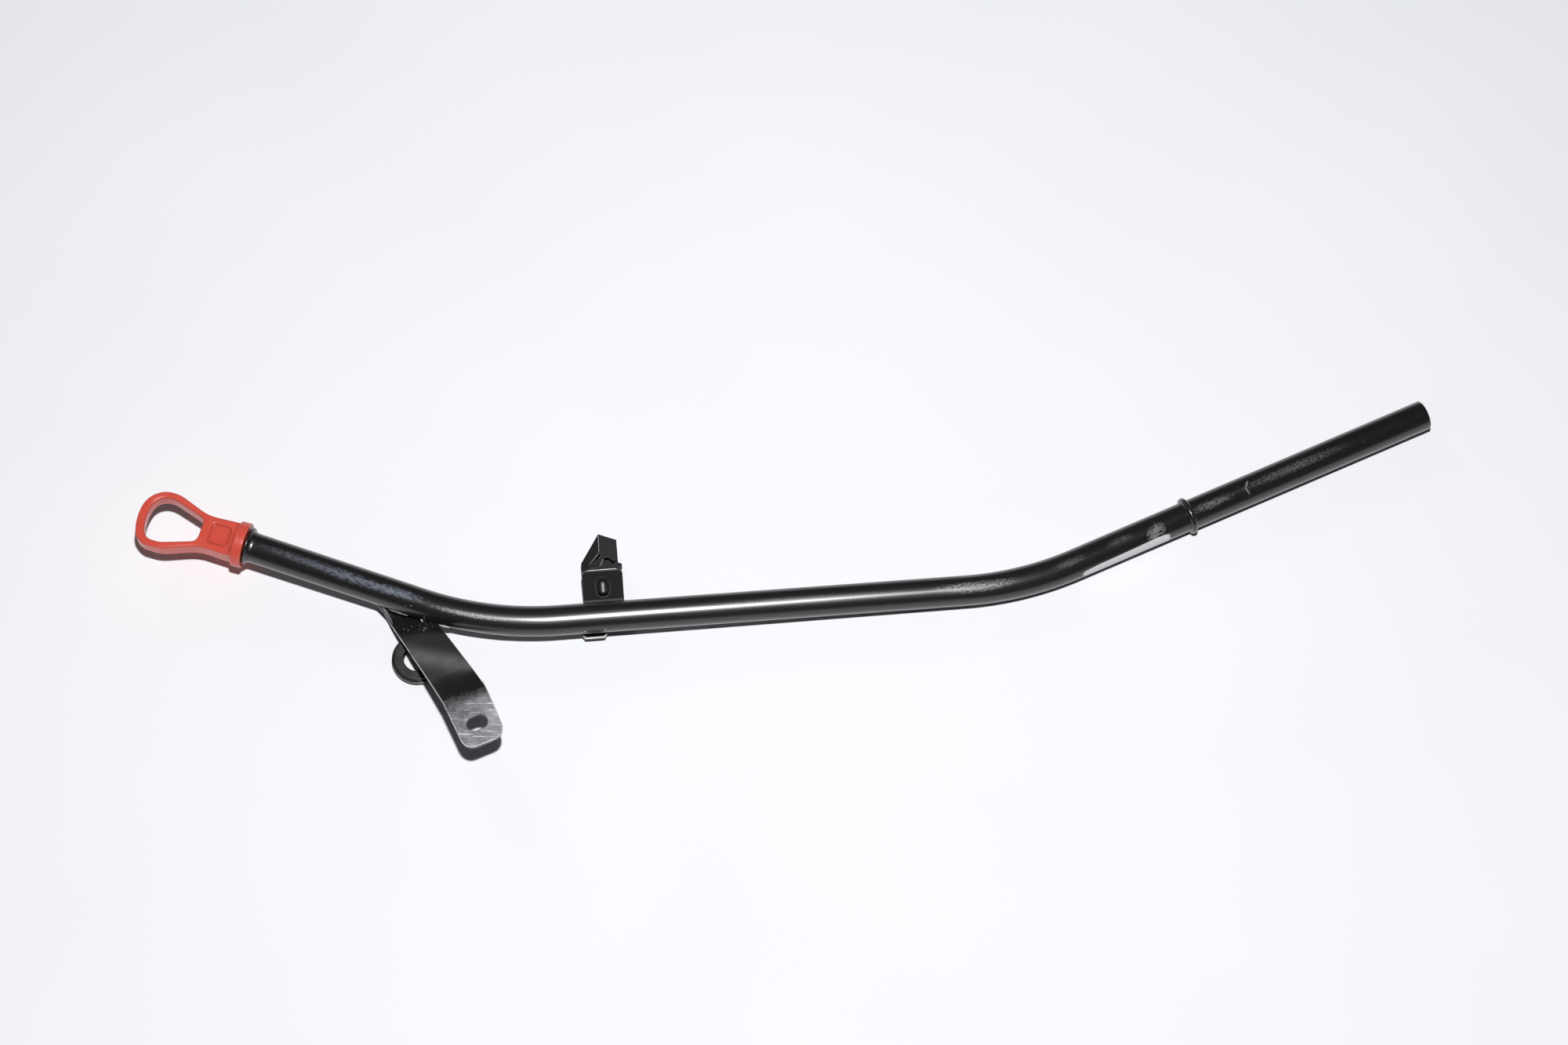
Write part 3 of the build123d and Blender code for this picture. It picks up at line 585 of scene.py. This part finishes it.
def tube_enamel():
    """Gloss black enamel on drawn steel tube.

    The drawing lines show through the paint, so the lamp's streak is wider across the tube than along it.
    Years of handling left scuffs on top, painted pale bluish along the lamp's streak as partly a painted
    highlight, chalky rub marks on the lower run, two of them paled as a painted sheen, and specks.
    """
    material, tree, shader = new_material("gloss black enamel on drawn steel tube", 1.55)
    shader.inputs["Anisotropic"].default_value = 0.58
    shader.inputs["Anisotropic Rotation"].default_value = 0.25
    shader.inputs["Coat Weight"].default_value = 0.5
    shader.inputs["Coat Roughness"].default_value = 0.22
    place = add(tree, "ShaderNodeUVMap", uv_map="surface").outputs[0]
    tangent = add(tree, "ShaderNodeTangent", direction_type="UV_MAP", uv_map="surface")
    tree.links.new(tangent.outputs[0], shader.inputs["Tangent"])
    # Drawing lines about 40 mm long and 0.5 mm wide
    stretched = add(tree, "ShaderNodeMapping", {"Vector": place, "Scale": (per(40), per(0.5), 1)})
    lines = add(tree, "ShaderNodeTexNoise", {"Vector": stretched.outputs[0], "Scale": 1.0, "Detail": 3.0})
    # Orange peel of the sprayed coat, 1.4 mm
    peel = add(tree, "ShaderNodeTexNoise", {"Vector": place, "Scale": per(1.4), "Detail": 2.0})
    height = add(tree, "ShaderNodeMath", {0: lines.outputs[0], 1: 0.5, 2: peel.outputs[0]},
                 operation="MULTIPLY_ADD")
    bump = add(tree, "ShaderNodeBump", {"Strength": 0.06, "Distance": 0.0001, "Height": height.outputs[0]})
    tree.links.new(bump.outputs[0], shader.inputs["Normal"])
    colour = add(tree, "ShaderNodeMix", {0: lines.outputs[0], 6: linear("#131112"), 7: linear("#1C191B")},
                 data_type="RGBA")
    rough = add(tree, "ShaderNodeMapRange", {0: lines.outputs[0], 1: 0.3, 2: 0.7, 3: 0.26, 4: 0.30})
    # Middle along and round the tube in mm, half sizes, turn, grain, raggedness, crispness, depth and tint.
    # The pale strip comes last, and its sides are straight.
    marks = [
        # These three rows are scuffs on the entry run, painted pale bluish along the lamp's streak: partly
        # scuffed paint, partly a painted highlight
        (22, -0.4, 24, 2.4, -0.02, 0.9, 6.0, 1.2, 0.22, "#8F96A6"),
        (47, -1.0, 30, 3.4, -0.03, 1.0, 6.0, 1.2, 0.36, "#8F98AC"),
        (69, -0.8, 18, 3.0, 0.02, 1.1, 5.5, 1.3, 0.36, "#9AA4B8"),
        # Scuff on the first bend, painted pale where the lamp's streak falls: partly scuffed paint, partly a
        # painted highlight
        (102, -1.9, 24, 1.5, 0.0, 0.5, 8.0, 1.4, 0.55, "#C4C3C6"),
        (240, -1.0, 60, 2.2, 0.0, 0.6, 7.5, 1.2, 0.26, "#8C8A8A"),
        (315, -1.0, 24, 3.2, 0.0, 0.6, 9.0, 1.3, 0.50, "#B4B3B4"),
        (357, -0.5, 10, 2.6, 0.0, 0.8, 7.0, 1.2, 0.30, "#8C8A8A"),
        (381, -0.2, 9, 2.4, 0.0, 0.8, 7.0, 1.2, 0.24, "#8C8A8A"),
        (397, -3.2, 6.2, 4.4, 0.5, 1.0, 9.0, 2.0, 0.48, "#A8A5A7"),
        # Rub mark on the lower run, partly a painted sheen of the lamp
        (425, -1.2, 14, 2.8, 0.0, 0.8, 7.0, 1.3, 0.40, "#949293"),
        (442.5, 0.7, 0.75, 2.6, -0.70, 0.8, 3.0, 2.4, 0.40, "#B0AEAF"),
        (441.5, -2.2, 0.70, 2.9, 0.20, 0.8, 3.0, 2.4, 0.34, "#B0AEAF"),
        # Rub mark on the lower run, partly a painted sheen of the lamp
        (464, -0.6, 36, 2.8, 0.0, 0.6, 9.0, 1.2, 0.30, "#949293"),
    ]
    pale_strip = (382, -9.6, 22.5, 3.7, 0.03, 1.6, 1.2, 6.0, 0.80, "#E9E8EA")
    tint, dull = colour.outputs[2], rough.outputs[0]
    for mark in [*marks, pale_strip]:
        along, round_it, long, wide, turn, grain, ragged, crisp, depth, hue = mark
        mask = scuff(tree, place, (along / 1000, round_it / 1000, 0), (long / 1000, wide / 1000, 1),
                     turn, grain, ragged, crisp, straight=mark is pale_strip)
        part = add(tree, "ShaderNodeMath", {0: mask, 1: depth}, operation="MULTIPLY").outputs[0]
        tint = add(tree, "ShaderNodeMix", {0: part, 6: tint, 7: linear(hue)}, data_type="RGBA").outputs[2]
        dull = add(tree, "ShaderNodeMix", {0: part, 2: dull, 3: 0.6}).outputs[0]
    # Specks of dust and grit in the coat, one every few millimetres
    grit = add(tree, "ShaderNodeTexVoronoi", {"Vector": place, "Scale": per(4.5)})
    speck = add(tree, "ShaderNodeMapRange", {0: grit.outputs[0], 1: 0.035, 2: 0.06, 3: 0.5, 4: 0.0})
    tint = add(tree, "ShaderNodeMix", {0: speck.outputs[0], 6: tint, 7: linear("#77777A")},
               data_type="RGBA").outputs[2]
    tree.links.new(tint, shader.inputs["Base Color"])
    tree.links.new(dull, shader.inputs["Roughness"])
    return material


def sheet_enamel(name, gloss, bare=False, grimy=False, painted_glint=None):
    """Gloss black enamel on pressed steel sheet.

    Sheared edges are rounded by the coat and catch the lamp as thin lines; they are also painted pale, partly
    as worn paint and partly as a painted highlight. Where the part is bolted down the coat has gone to dull,
    swirled grey steel. Behind the tube, grime has dulled it; the dart's nub gets a near-white painted
    highlight.
    """
    material, tree, shader = new_material(name, 1.55)
    place = add(tree, "ShaderNodeTexCoord").outputs["Object"]
    peel = add(tree, "ShaderNodeTexNoise", {"Vector": place, "Scale": per(2.2), "Detail": 3.0})
    soft = add(tree, "ShaderNodeBevel", {"Radius": 0.0004}, samples=6)
    bump = add(tree, "ShaderNodeBump", {"Strength": 0.05, "Distance": 0.0001, "Height": peel.outputs[0],
                                        "Normal": soft.outputs[0]})
    tree.links.new(bump.outputs[0], shader.inputs["Normal"])
    cloud = add(tree, "ShaderNodeTexNoise", {"Vector": place, "Scale": per(9), "Detail": 4.0})
    tint = add(tree, "ShaderNodeMix", {0: cloud.outputs[0], 6: linear("#171616"), 7: linear("#222122")},
               data_type="RGBA").outputs[2]
    dull = add(tree, "ShaderNodeMapRange",
               {0: cloud.outputs[0], 1: 0.3, 2: 0.7, 3: gloss, 4: gloss + 0.08}).outputs[0]
    # Pale specks where the coat is chipped to primer
    grit = add(tree, "ShaderNodeTexVoronoi", {"Vector": place, "Scale": per(3.4)})
    speck = add(tree, "ShaderNodeMapRange", {0: grit.outputs[0], 1: 0.04, 2: 0.07, 3: 0.45, 4: 0.0})
    tint = add(tree, "ShaderNodeMix", {0: speck.outputs[0], 6: tint, 7: linear("#8B8A8B")},
               data_type="RGBA").outputs[2]
    # Edges painted pale grey: partly worn paint on the sheared edges, partly a painted highlight where they
    # mirror the floor
    flat = add(tree, "ShaderNodeNewGeometry")
    turned = add(tree, "ShaderNodeVectorMath", {0: soft.outputs[0], 1: flat.outputs["Normal"]},
                 operation="DOT_PRODUCT")
    corner = add(tree, "ShaderNodeMapRange", {0: turned.outputs[1], 1: 0.985, 2: 0.90, 3: 0.0, 4: 0.55})
    tint = add(tree, "ShaderNodeMix", {0: corner.outputs[0], 6: tint, 7: linear("#A6A6A9")},
               data_type="RGBA").outputs[2]
    if grimy:
        # Distance behind the tube's middle, from 4 to 9 mm
        reach = add(tree, "ShaderNodeVectorMath", {0: place, 1: SIDE}, operation="DOT_PRODUCT")
        near = SIDE @ CLIP_AT
        grime = add(tree, "ShaderNodeMapRange", {0: reach.outputs[1], 1: near + 0.004, 2: near + 0.009})
        dull = add(tree, "ShaderNodeMix", {0: grime.outputs[0], 2: dull, 3: 0.5}).outputs[0]
        shader.inputs["Specular IOR Level"].default_value = 0.25
    if painted_glint is not None:
        # A near-white spot on the dart's nub: a painted highlight
        rubbed = scuff(tree, place, tuple(painted_glint), (NUB_GLINT, NUB_GLINT, NUB_GLINT), 0, 1.0, 1.0, 4.0)
        tint = add(tree, "ShaderNodeMix", {0: rubbed, 6: tint, 7: linear("#F2F2F4")},
                   data_type="RGBA").outputs[2]
    if bare:
        # Pressing left a slow swell along the arm, skewed across it, which bends what the face mirrors
        skew = ALONG_ARM - SWELL_SKEW * ACROSS_ARM
        foot = skew @ ARM_ROOT
        reach = add(tree, "ShaderNodeVectorMath", {0: place, 1: skew}, operation="DOT_PRODUCT")
        swell = add(tree, "ShaderNodeMapRange",
                    {0: reach.outputs[1], 1: foot + SWELL_FROM, 2: foot + SWELL_TO, 3: 0.0, 4: -SWELL_DEPTH},
                    interpolation_type="SMOOTHERSTEP")
        bow = add(tree, "ShaderNodeBump", {"Strength": 1.0, "Distance": 1.0, "Height": swell.outputs[0],
                                           "Normal": soft.outputs[0]})
        tree.links.new(bow.outputs[0], bump.inputs["Normal"])
        # Distance along the arm, with a slant across it, broken by 2.6 mm chips
        along = ALONG_ARM - 0.12 * ACROSS_ARM
        reach = add(tree, "ShaderNodeVectorMath", {0: place, 1: along}, operation="DOT_PRODUCT")
        chips = add(tree, "ShaderNodeTexNoise",
                    {"Vector": place, "Scale": per(2.6), "Detail": 5.0, "Roughness": 0.7})
        broken = add(tree, "ShaderNodeMath", {0: chips.outputs[0], 1: CHIP_REACH, 2: reach.outputs[1]},
                     operation="MULTIPLY_ADD")
        edge = along @ ARM_ROOT + BARE_FROM + CHIP_REACH / 2
        worn = add(tree, "ShaderNodeMapRange",
                   {0: broken.outputs[0], 1: edge - 0.0028, 2: edge + 0.0034}).outputs[0]
        # Swirls left by the bolt's washer about the slot, 1.3 mm apart, and a 3.2 mm mottle
        slot = ARM_ROOT + SLOT_AT[0] * ALONG_ARM + SLOT_AT[1] * ACROSS_ARM
        about = add(tree, "ShaderNodeMapping", {"Vector": place, "Location": tuple(-slot)})
        rings = add(tree, "ShaderNodeTexWave",
                    {"Vector": about.outputs[0], "Scale": per(4), "Distortion": 26.0,
                     "Detail": 6.0, "Detail Scale": 5.0, "Detail Roughness": 0.75},
                    wave_type="RINGS", rings_direction="Z")
        mottle = add(tree, "ShaderNodeTexNoise",
                     {"Vector": place, "Scale": per(3.2), "Detail": 7.0, "Roughness": 0.75})
        both = add(tree, "ShaderNodeMath", {0: rings.outputs[1], 1: 0.4, 2: mottle.outputs[0]},
                   operation="MULTIPLY_ADD")
        swirl = add(tree, "ShaderNodeMapRange", {0: both.outputs[0], 1: 0.5, 2: 0.88})
        # Scratches 0.5 mm wide and 8 mm long, slanting across the tip
        slant = add(tree, "ShaderNodeMapping",
                    {"Vector": place, "Rotation": (0, 0, 0.5), "Scale": (per(8), per(0.5), per(8))})
        scored = add(tree, "ShaderNodeTexNoise", {"Vector": slant.outputs[0], "Scale": 1.0, "Detail": 3.0})
        scratch = add(tree, "ShaderNodeMapRange", {0: scored.outputs[0], 1: 0.60, 2: 0.68, 3: 0.0, 4: 0.7})
        steel = add(tree, "ShaderNodeMix", {0: swirl.outputs[0], 6: linear("#56575A"), 7: linear("#9C9CA0")},
                    data_type="RGBA")
        steel = add(tree, "ShaderNodeMix", {0: scratch.outputs[0], 6: steel.outputs[2], 7: linear("#E2E2E5")},
                    data_type="RGBA")
        grey = add(tree, "ShaderNodeMapRange", {0: swirl.outputs[0], 3: 0.5, 4: 0.62})
        tint = add(tree, "ShaderNodeMix", {0: worn, 6: tint, 7: steel.outputs[2]},
                   data_type="RGBA").outputs[2]
        dull = add(tree, "ShaderNodeMix", {0: worn, 2: dull, 3: grey.outputs[0]}).outputs[0]
        tree.links.new(worn, shader.inputs["Metallic"])
    tree.links.new(tint, shader.inputs["Base Color"])
    tree.links.new(dull, shader.inputs["Roughness"])
    return material


def red_nylon():
    """Red nylon moulding, satin from the tool.

    The coloured plastic scatters light just under its skin, and its rounded edges shine pinkish. Its edges
    are painted paler pink, partly as handling wear and partly as a painted highlight, and its recesses are
    painted dark red as painted shade.
    """
    material, tree, shader = new_material("red moulded nylon", 1.53)
    shader.inputs["Subsurface Weight"].default_value = 0.12
    shader.inputs["Subsurface Radius"].default_value = (0.0012, 0.0004, 0.0003)
    place = add(tree, "ShaderNodeTexCoord").outputs["Object"]
    soft = add(tree, "ShaderNodeBevel", {"Radius": 0.0006}, samples=6)
    grain = add(tree, "ShaderNodeTexNoise", {"Vector": place, "Scale": per(0.6), "Detail": 3.0})
    bump = add(tree, "ShaderNodeBump", {"Strength": 0.08, "Distance": 0.0001, "Height": grain.outputs[0],
                                        "Normal": soft.outputs[0]})
    tree.links.new(bump.outputs[0], shader.inputs["Normal"])
    flow = add(tree, "ShaderNodeTexNoise", {"Vector": place, "Scale": per(14), "Detail": 5.0})
    tint = add(tree, "ShaderNodeMix", {0: flow.outputs[0], 6: linear("#CE4B3C"), 7: linear("#DA5848")},
               data_type="RGBA")
    # Edges painted paler pink: partly handling wear, partly a painted highlight on the rounded edges
    flat = add(tree, "ShaderNodeNewGeometry")
    turned = add(tree, "ShaderNodeVectorMath", {0: soft.outputs[0], 1: flat.outputs["Normal"]},
                 operation="DOT_PRODUCT")
    corner = add(tree, "ShaderNodeMapRange", {0: turned.outputs[1], 1: 0.99, 2: 0.86, 3: 0.0, 4: 0.35})
    pale = add(tree, "ShaderNodeMix", {0: corner.outputs[0], 6: tint.outputs[2], 7: linear("#E68A7C")},
               data_type="RGBA")
    # Recesses and creases painted dark red by ambient occlusion: painted shade
    hollow = add(tree, "ShaderNodeAmbientOcclusion", {"Distance": 0.003}, samples=8)
    painted_recess_shade = add(tree, "ShaderNodeMapRange", {0: hollow.outputs["AO"], 1: 0.5, 2: 0.97, 3: 0.9, 4: 0.0})
    red_with_painted_shade = add(tree, "ShaderNodeMix", {0: painted_recess_shade.outputs[0], 6: pale.outputs[2], 7: linear("#7E2A22")},
                 data_type="RGBA")
    tree.links.new(red_with_painted_shade.outputs[2], shader.inputs["Base Color"])
    rough = add(tree, "ShaderNodeMapRange", {0: flow.outputs[0], 1: 0.3, 2: 0.7, 3: 0.27, 4: 0.36})
    tree.links.new(rough.outputs[0], shader.inputs["Roughness"])
    return material


def black_rubber():
    """Nitrile rubber, moulded: deep black with a soft sheen and a greyish bloom in patches."""
    material, tree, shader = new_material("moulded nitrile rubber", 1.52)
    place = add(tree, "ShaderNodeTexCoord").outputs["Object"]
    bloom = add(tree, "ShaderNodeTexNoise",
                {"Vector": place, "Scale": per(5), "Detail": 5.0, "Roughness": 0.65})
    tint = add(tree, "ShaderNodeMix", {0: bloom.outputs[0], 6: linear("#121213"), 7: linear("#232426")},
               data_type="RGBA")
    tree.links.new(tint.outputs[2], shader.inputs["Base Color"])
    rough = add(tree, "ShaderNodeMapRange", {0: bloom.outputs[0], 1: 0.3, 2: 0.7, 3: 0.34, 4: 0.5})
    tree.links.new(rough.outputs[0], shader.inputs["Roughness"])
    soft = add(tree, "ShaderNodeBevel", {"Radius": 0.0004}, samples=6)
    skin = add(tree, "ShaderNodeTexNoise", {"Vector": place, "Scale": per(0.8), "Detail": 2.0})
    bump = add(tree, "ShaderNodeBump", {"Strength": 0.06, "Distance": 0.0001, "Height": skin.outputs[0],
                                        "Normal": soft.outputs[0]})
    tree.links.new(bump.outputs[0], shader.inputs["Normal"])
    return material


def black_polyamide(name, gloss, shine):
    """Black polyamide moulding: a fine skin, matt or rubbed, that greys along its edges."""
    material, tree, shader = new_material(name, 1.53)
    shader.inputs["Specular IOR Level"].default_value = shine
    place = add(tree, "ShaderNodeTexCoord").outputs["Object"]
    soft = add(tree, "ShaderNodeBevel", {"Radius": 0.0004}, samples=6)
    flat = add(tree, "ShaderNodeNewGeometry")
    turned = add(tree, "ShaderNodeVectorMath", {0: soft.outputs[0], 1: flat.outputs["Normal"]},
                 operation="DOT_PRODUCT")
    corner = add(tree, "ShaderNodeMapRange", {0: turned.outputs[1], 1: 0.99, 2: 0.88, 3: 0.0, 4: 0.3})
    cloud = add(tree, "ShaderNodeTexNoise",
                {"Vector": place, "Scale": per(4), "Detail": 5.0, "Roughness": 0.6})
    tint = add(tree, "ShaderNodeMix", {0: cloud.outputs[0], 6: linear("#121315"), 7: linear("#1E1F22")},
               data_type="RGBA")
    pale = add(tree, "ShaderNodeMix", {0: corner.outputs[0], 6: tint.outputs[2], 7: linear("#8A8A90")},
               data_type="RGBA")
    tree.links.new(pale.outputs[2], shader.inputs["Base Color"])
    rough = add(tree, "ShaderNodeMapRange", {0: cloud.outputs[0], 1: 0.3, 2: 0.7, 3: gloss, 4: gloss + 0.14})
    tree.links.new(rough.outputs[0], shader.inputs["Roughness"])
    grain = add(tree, "ShaderNodeTexNoise", {"Vector": place, "Scale": per(0.5), "Detail": 2.0})
    bump = add(tree, "ShaderNodeBump", {"Strength": 0.12, "Distance": 0.0001, "Height": grain.outputs[0],
                                        "Normal": soft.outputs[0]})
    tree.links.new(bump.outputs[0], shader.inputs["Normal"])
    return material


def rubbed_enamel(name, painted, bright):
    """Black coat rubbed through on edges and welds: a bright line broken by what is left of the paint. The
    bright colour is partly steel and partly a painted highlight or reflection; where both colours are near
    black they are painted shade.
    """
    material, tree, shader = new_material(name, 1.55)
    place = add(tree, "ShaderNodeTexCoord").outputs["Object"]
    left = add(tree, "ShaderNodeTexNoise",
               {"Vector": place, "Scale": per(3.5), "Detail": 5.0, "Roughness": 0.7})
    rubbed = add(tree, "ShaderNodeMapRange", {0: left.outputs[0], 1: 0.30, 2: 0.48})
    tint = add(tree, "ShaderNodeMix", {0: rubbed.outputs[0], 6: linear(painted), 7: linear(bright)},
               data_type="RGBA")
    tree.links.new(tint.outputs[2], shader.inputs["Base Color"])
    shader.inputs["Metallic"].default_value = 0.35
    rough = add(tree, "ShaderNodeMapRange", {0: left.outputs[0], 1: 0.3, 2: 0.7, 3: 0.3, 4: 0.5})
    tree.links.new(rough.outputs[0], shader.inputs["Roughness"])
    return material


def torn_polyamide():
    """Polyamide that was drawn out as it tore: whitened in streaks along the break."""
    material, tree, shader = new_material("torn whitened polyamide", 1.53)
    place = add(tree, "ShaderNodeTexCoord").outputs["Object"]
    fibre = add(tree, "ShaderNodeTexNoise",
                {"Vector": place, "Scale": per(0.9), "Detail": 5.0, "Roughness": 0.7})
    tint = add(tree, "ShaderNodeMix", {0: fibre.outputs[0], 6: linear("#5A5A5E"), 7: linear("#C2C2C8")},
               data_type="RGBA")
    tree.links.new(tint.outputs[2], shader.inputs["Base Color"])
    rough = add(tree, "ShaderNodeMapRange", {0: fibre.outputs[0], 1: 0.3, 2: 0.7, 3: 0.45, 4: 0.7})
    tree.links.new(rough.outputs[0], shader.inputs["Roughness"])
    bump = add(tree, "ShaderNodeBump", {"Strength": 0.4, "Distance": 0.0002, "Height": fibre.outputs[0]})
    tree.links.new(bump.outputs[0], shader.inputs["Normal"])
    return material


def spring_steel():
    """Cold-rolled spring steel strip with a film of oil: fine lines along it and a straw tint in patches."""
    material, tree, shader = new_material("cold-rolled spring steel")
    shader.inputs["Metallic"].default_value = 1.0
    place = add(tree, "ShaderNodeTexCoord").outputs["Object"]
    rolled = add(tree, "ShaderNodeMapping", {"Vector": place, "Scale": (per(30), per(0.4), per(0.4))})
    lines = add(tree, "ShaderNodeTexNoise", {"Vector": rolled.outputs[0], "Scale": 1.0, "Detail": 3.0})
    oil = add(tree, "ShaderNodeTexNoise", {"Vector": place, "Scale": per(12), "Detail": 4.0})
    tint = add(tree, "ShaderNodeMix", {0: oil.outputs[0], 6: linear("#A9A7A2"), 7: linear("#C2BBA8")},
               data_type="RGBA")
    tree.links.new(tint.outputs[2], shader.inputs["Base Color"])
    rough = add(tree, "ShaderNodeMapRange", {0: lines.outputs[0], 1: 0.3, 2: 0.7, 3: 0.24, 4: 0.4})
    tree.links.new(rough.outputs[0], shader.inputs["Roughness"])
    return material


def white_table():
    """White laminate, matt, with the faintest mottling."""
    material, tree, shader = new_material("matt white laminate")
    place = add(tree, "ShaderNodeTexCoord").outputs["Object"]
    cloud = add(tree, "ShaderNodeTexNoise", {"Vector": place, "Scale": per(120), "Detail": 2.0})
    tint = add(tree, "ShaderNodeMix", {0: cloud.outputs[0], 6: linear("#F3F5F9"), 7: linear("#F9FAFC")},
               data_type="RGBA")
    tree.links.new(tint.outputs[2], shader.inputs["Base Color"])
    shader.inputs["Roughness"].default_value = 0.7
    return material


def floor_piece():
    """Round table top: rings of points, each radius times the cosine and sine of the turn."""
    turn = np.linspace(0, 2 * np.pi, 96, endpoint=False)
    radius = np.array([0.0, 0.5, 2.0, 9.0])[:, None]
    points = np.stack([radius * np.cos(turn), radius * np.sin(turn), np.full((4, 96), TABLE_LEVEL)], -1)
    return put_mesh("table_top", points, grid_faces(4, 96))


def lamp_piece(name, shape, size, energy, place, aim, spread=180.0):
    """An area lamp at a place, turned so that it faces its aim, its beam as wide as its spread."""
    lamp = bpy.data.lights.new(name, "AREA")
    lamp.shape = shape
    lamp.size = size
    lamp.energy = energy
    lamp.spread = np.radians(spread)
    holder = bpy.data.objects.new(name, lamp)
    holder.location = place
    ray = unit(place - aim)
    holder.rotation_euler = (np.arccos(ray[2]), 0, np.arctan2(ray[0], -ray[1]))
    bpy.context.scene.collection.objects.link(holder)


def light_and_view():
    """A small flash above the lens, a soft card at the far left, a dim room, and the photograph's camera."""
    scene = bpy.context.scene
    scene.view_settings.view_transform = "Standard"
    toward = np.array([FLASH_ASIDE, -np.cos(FLASH_ELEVATION), np.sin(FLASH_ELEVATION)])
    flash_at = VIEW_TARGET + FLASH_DISTANCE * toward
    lamp_piece("flash", "DISK", FLASH_SIZE, FLASH_POWER, flash_at, FLASH_AIM, FLASH_SPREAD)
    lamp_piece("card", "SQUARE", CARD_SIZE, CARD_POWER, CARD_AT, VIEW_TARGET)
    world = bpy.data.worlds.new("dim room")
    world.use_nodes = True
    world.node_tree.nodes["Background"].inputs["Color"].default_value = linear("#EDF1F7")
    world.node_tree.nodes["Background"].inputs["Strength"].default_value = ROOM_LIGHT
    scene.world = world
    lens = bpy.data.cameras.new("photograph")
    lens.lens = VIEW_LENS
    lens.sensor_width = VIEW_SENSOR
    lens.clip_end = 50.0
    camera = bpy.data.objects.new("photograph", lens)
    back = np.array([0, -np.cos(VIEW_ELEVATION), np.sin(VIEW_ELEVATION)])
    camera.location = VIEW_TARGET + VIEW_DISTANCE * back
    camera.rotation_euler = (np.pi / 2 - VIEW_ELEVATION, 0, 0)
    scene.collection.objects.link(camera)
    scene.camera = camera


light_and_view()

table_top = floor_piece()
table_top.data.materials.append(white_table())

tube = tube_piece()
tube.data.materials.append(tube_enamel())
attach(tube, "tube")
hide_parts("guide_tube")

strip = blade_piece()
strip.data.materials.append(spring_steel())
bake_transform(strip)
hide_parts("blade")

coat = sheet_enamel("gloss black enamel on pressed steel", 0.2)
rubber = black_rubber()
moulding = black_polyamide("matt black moulded polyamide", 0.5, 0.27)
rubbed = black_polyamide("rubbed black moulded polyamide", 0.38, 1.0)
torn = torn_polyamide()
# Pale edge and weld finishes: partly bare steel, partly painted highlights
worn_edge_and_highlight = rubbed_enamel("black enamel rubbed to bright steel", "#4A4A4C", "#D6D6D9")
weld_metal_and_highlight = rubbed_enamel("black enamel thin on weld metal", "#1E1E1F", "#8C8C8F")

for piece, material, slot in [
    # The dart's nub carries a near-white painted highlight
    (dart_piece(), sheet_enamel("gloss black enamel with a painted highlight on its nub", 0.2, painted_glint=on_slope(*NUB_AT)), "black_paint"),
    # The arm's edge bead is pale: partly worn steel, partly a painted reflection of the floor
    (edge_piece(), worn_edge_and_highlight, "black_paint"),
    # The plate's top edge bead is pale: partly wear, partly a painted highlight
    (plate_edge_piece(), worn_edge_and_highlight, "black_paint"),
    # The tongue's edge bead is pale: partly wear, partly a painted highlight
    (tongue_edge_piece(), rubbed_enamel("black enamel rubbed thin on a tongue", "#3E3E40", "#B2B2B6"),
     "black_paint"),
    # A pale ridge line on the clip: partly whitened plastic, partly a painted highlight along its edge
    (sliver_piece("clip_ridge_highlight", [(-0.36, 37.1, 0.15), (-0.45, 33.3, 0.13), (-0.56, 29.5, 0.05)],
                  0.00014, 0.00014, 8), torn, "black_plastic"),
    # Pale weld beads: partly bare weld metal, partly painted highlights on their crowns
    (weld_piece("weld_left", 0.0660, 0.0752, np.radians(-108), 0.0003, 0.00045), weld_metal_and_highlight, "black_paint"),
    (weld_piece("weld_right", 0.0882, 0.0934, np.radians(-103), 0.0002, 0.00042), worn_edge_and_highlight, "black_paint"),
    # Weld bead above the tongue in near-black enamel: its darkness is painted shade for the shadowed hollow
    # there
    (weld_piece("weld_tongue", 0.1480, 0.1580, np.radians(-84), 0.0, 0.0007),
     rubbed_enamel("near-black enamel painted as shade in a weld hollow", "#0C0C0D", "#2A2A2C"), "black_paint"),
    # The weld toe is lightened grey as a painted reflection of the floor
    (toe_piece(), rubbed_enamel("black enamel thin on a weld toe", "#2C2C2E", "#5C5C60"), "black_paint"),
    (spatter_piece(), worn_edge_and_highlight, "black_paint"),
    (sliver_piece("torn_edge", [(-0.7, 29.6, -0.1), (-2.2, 27.6, -1.5), (-5.0, 25.9, -3.8)],
                  0.00016, 0.0002, 2), torn, "black_plastic"),
    (sliver_piece("torn_strand", [(-1.0, 24.2, -4.1), (0.6, 25.8, -3.0), (1.0, 27.4, -1.2)],
                  0.00018, 0.00016, 4), torn, "black_plastic"),
    (sliver_piece("torn_hook", [(-0.8, 27.4, -2.4), (0.0, 28.6, -1.0), (1.6, 27.2, -1.2)],
                  0.00015, 0.00015, 4), torn, "black_plastic"),
    (sliver_piece("torn_flap", [(-5.4, 24.2, -4.05), (-3.2, 24.5, -3.8), (-1.2, 24.6, -3.9)],
                  0.0010, 0.0002, 12), moulding, "black_plastic"),
    (stud_piece(), rubbed, "black_plastic"),
]:
    piece.data.materials.append(material)
    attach(piece, "tube")

for name, material in {
    "mounting_bracket": sheet_enamel("gloss black enamel worn to steel", 0.2, bare=True),
    "eye_tab": coat,
    "clip_bracket": sheet_enamel("grimy black enamel on pressed steel", 0.2, grimy=True),
    "eye_grommet": rubber,
    "plug_seal": rubber,
    "harness_clip": moulding,
    "handle": red_nylon(),
}.items():
    nodes[name].material_slots[0].material = material
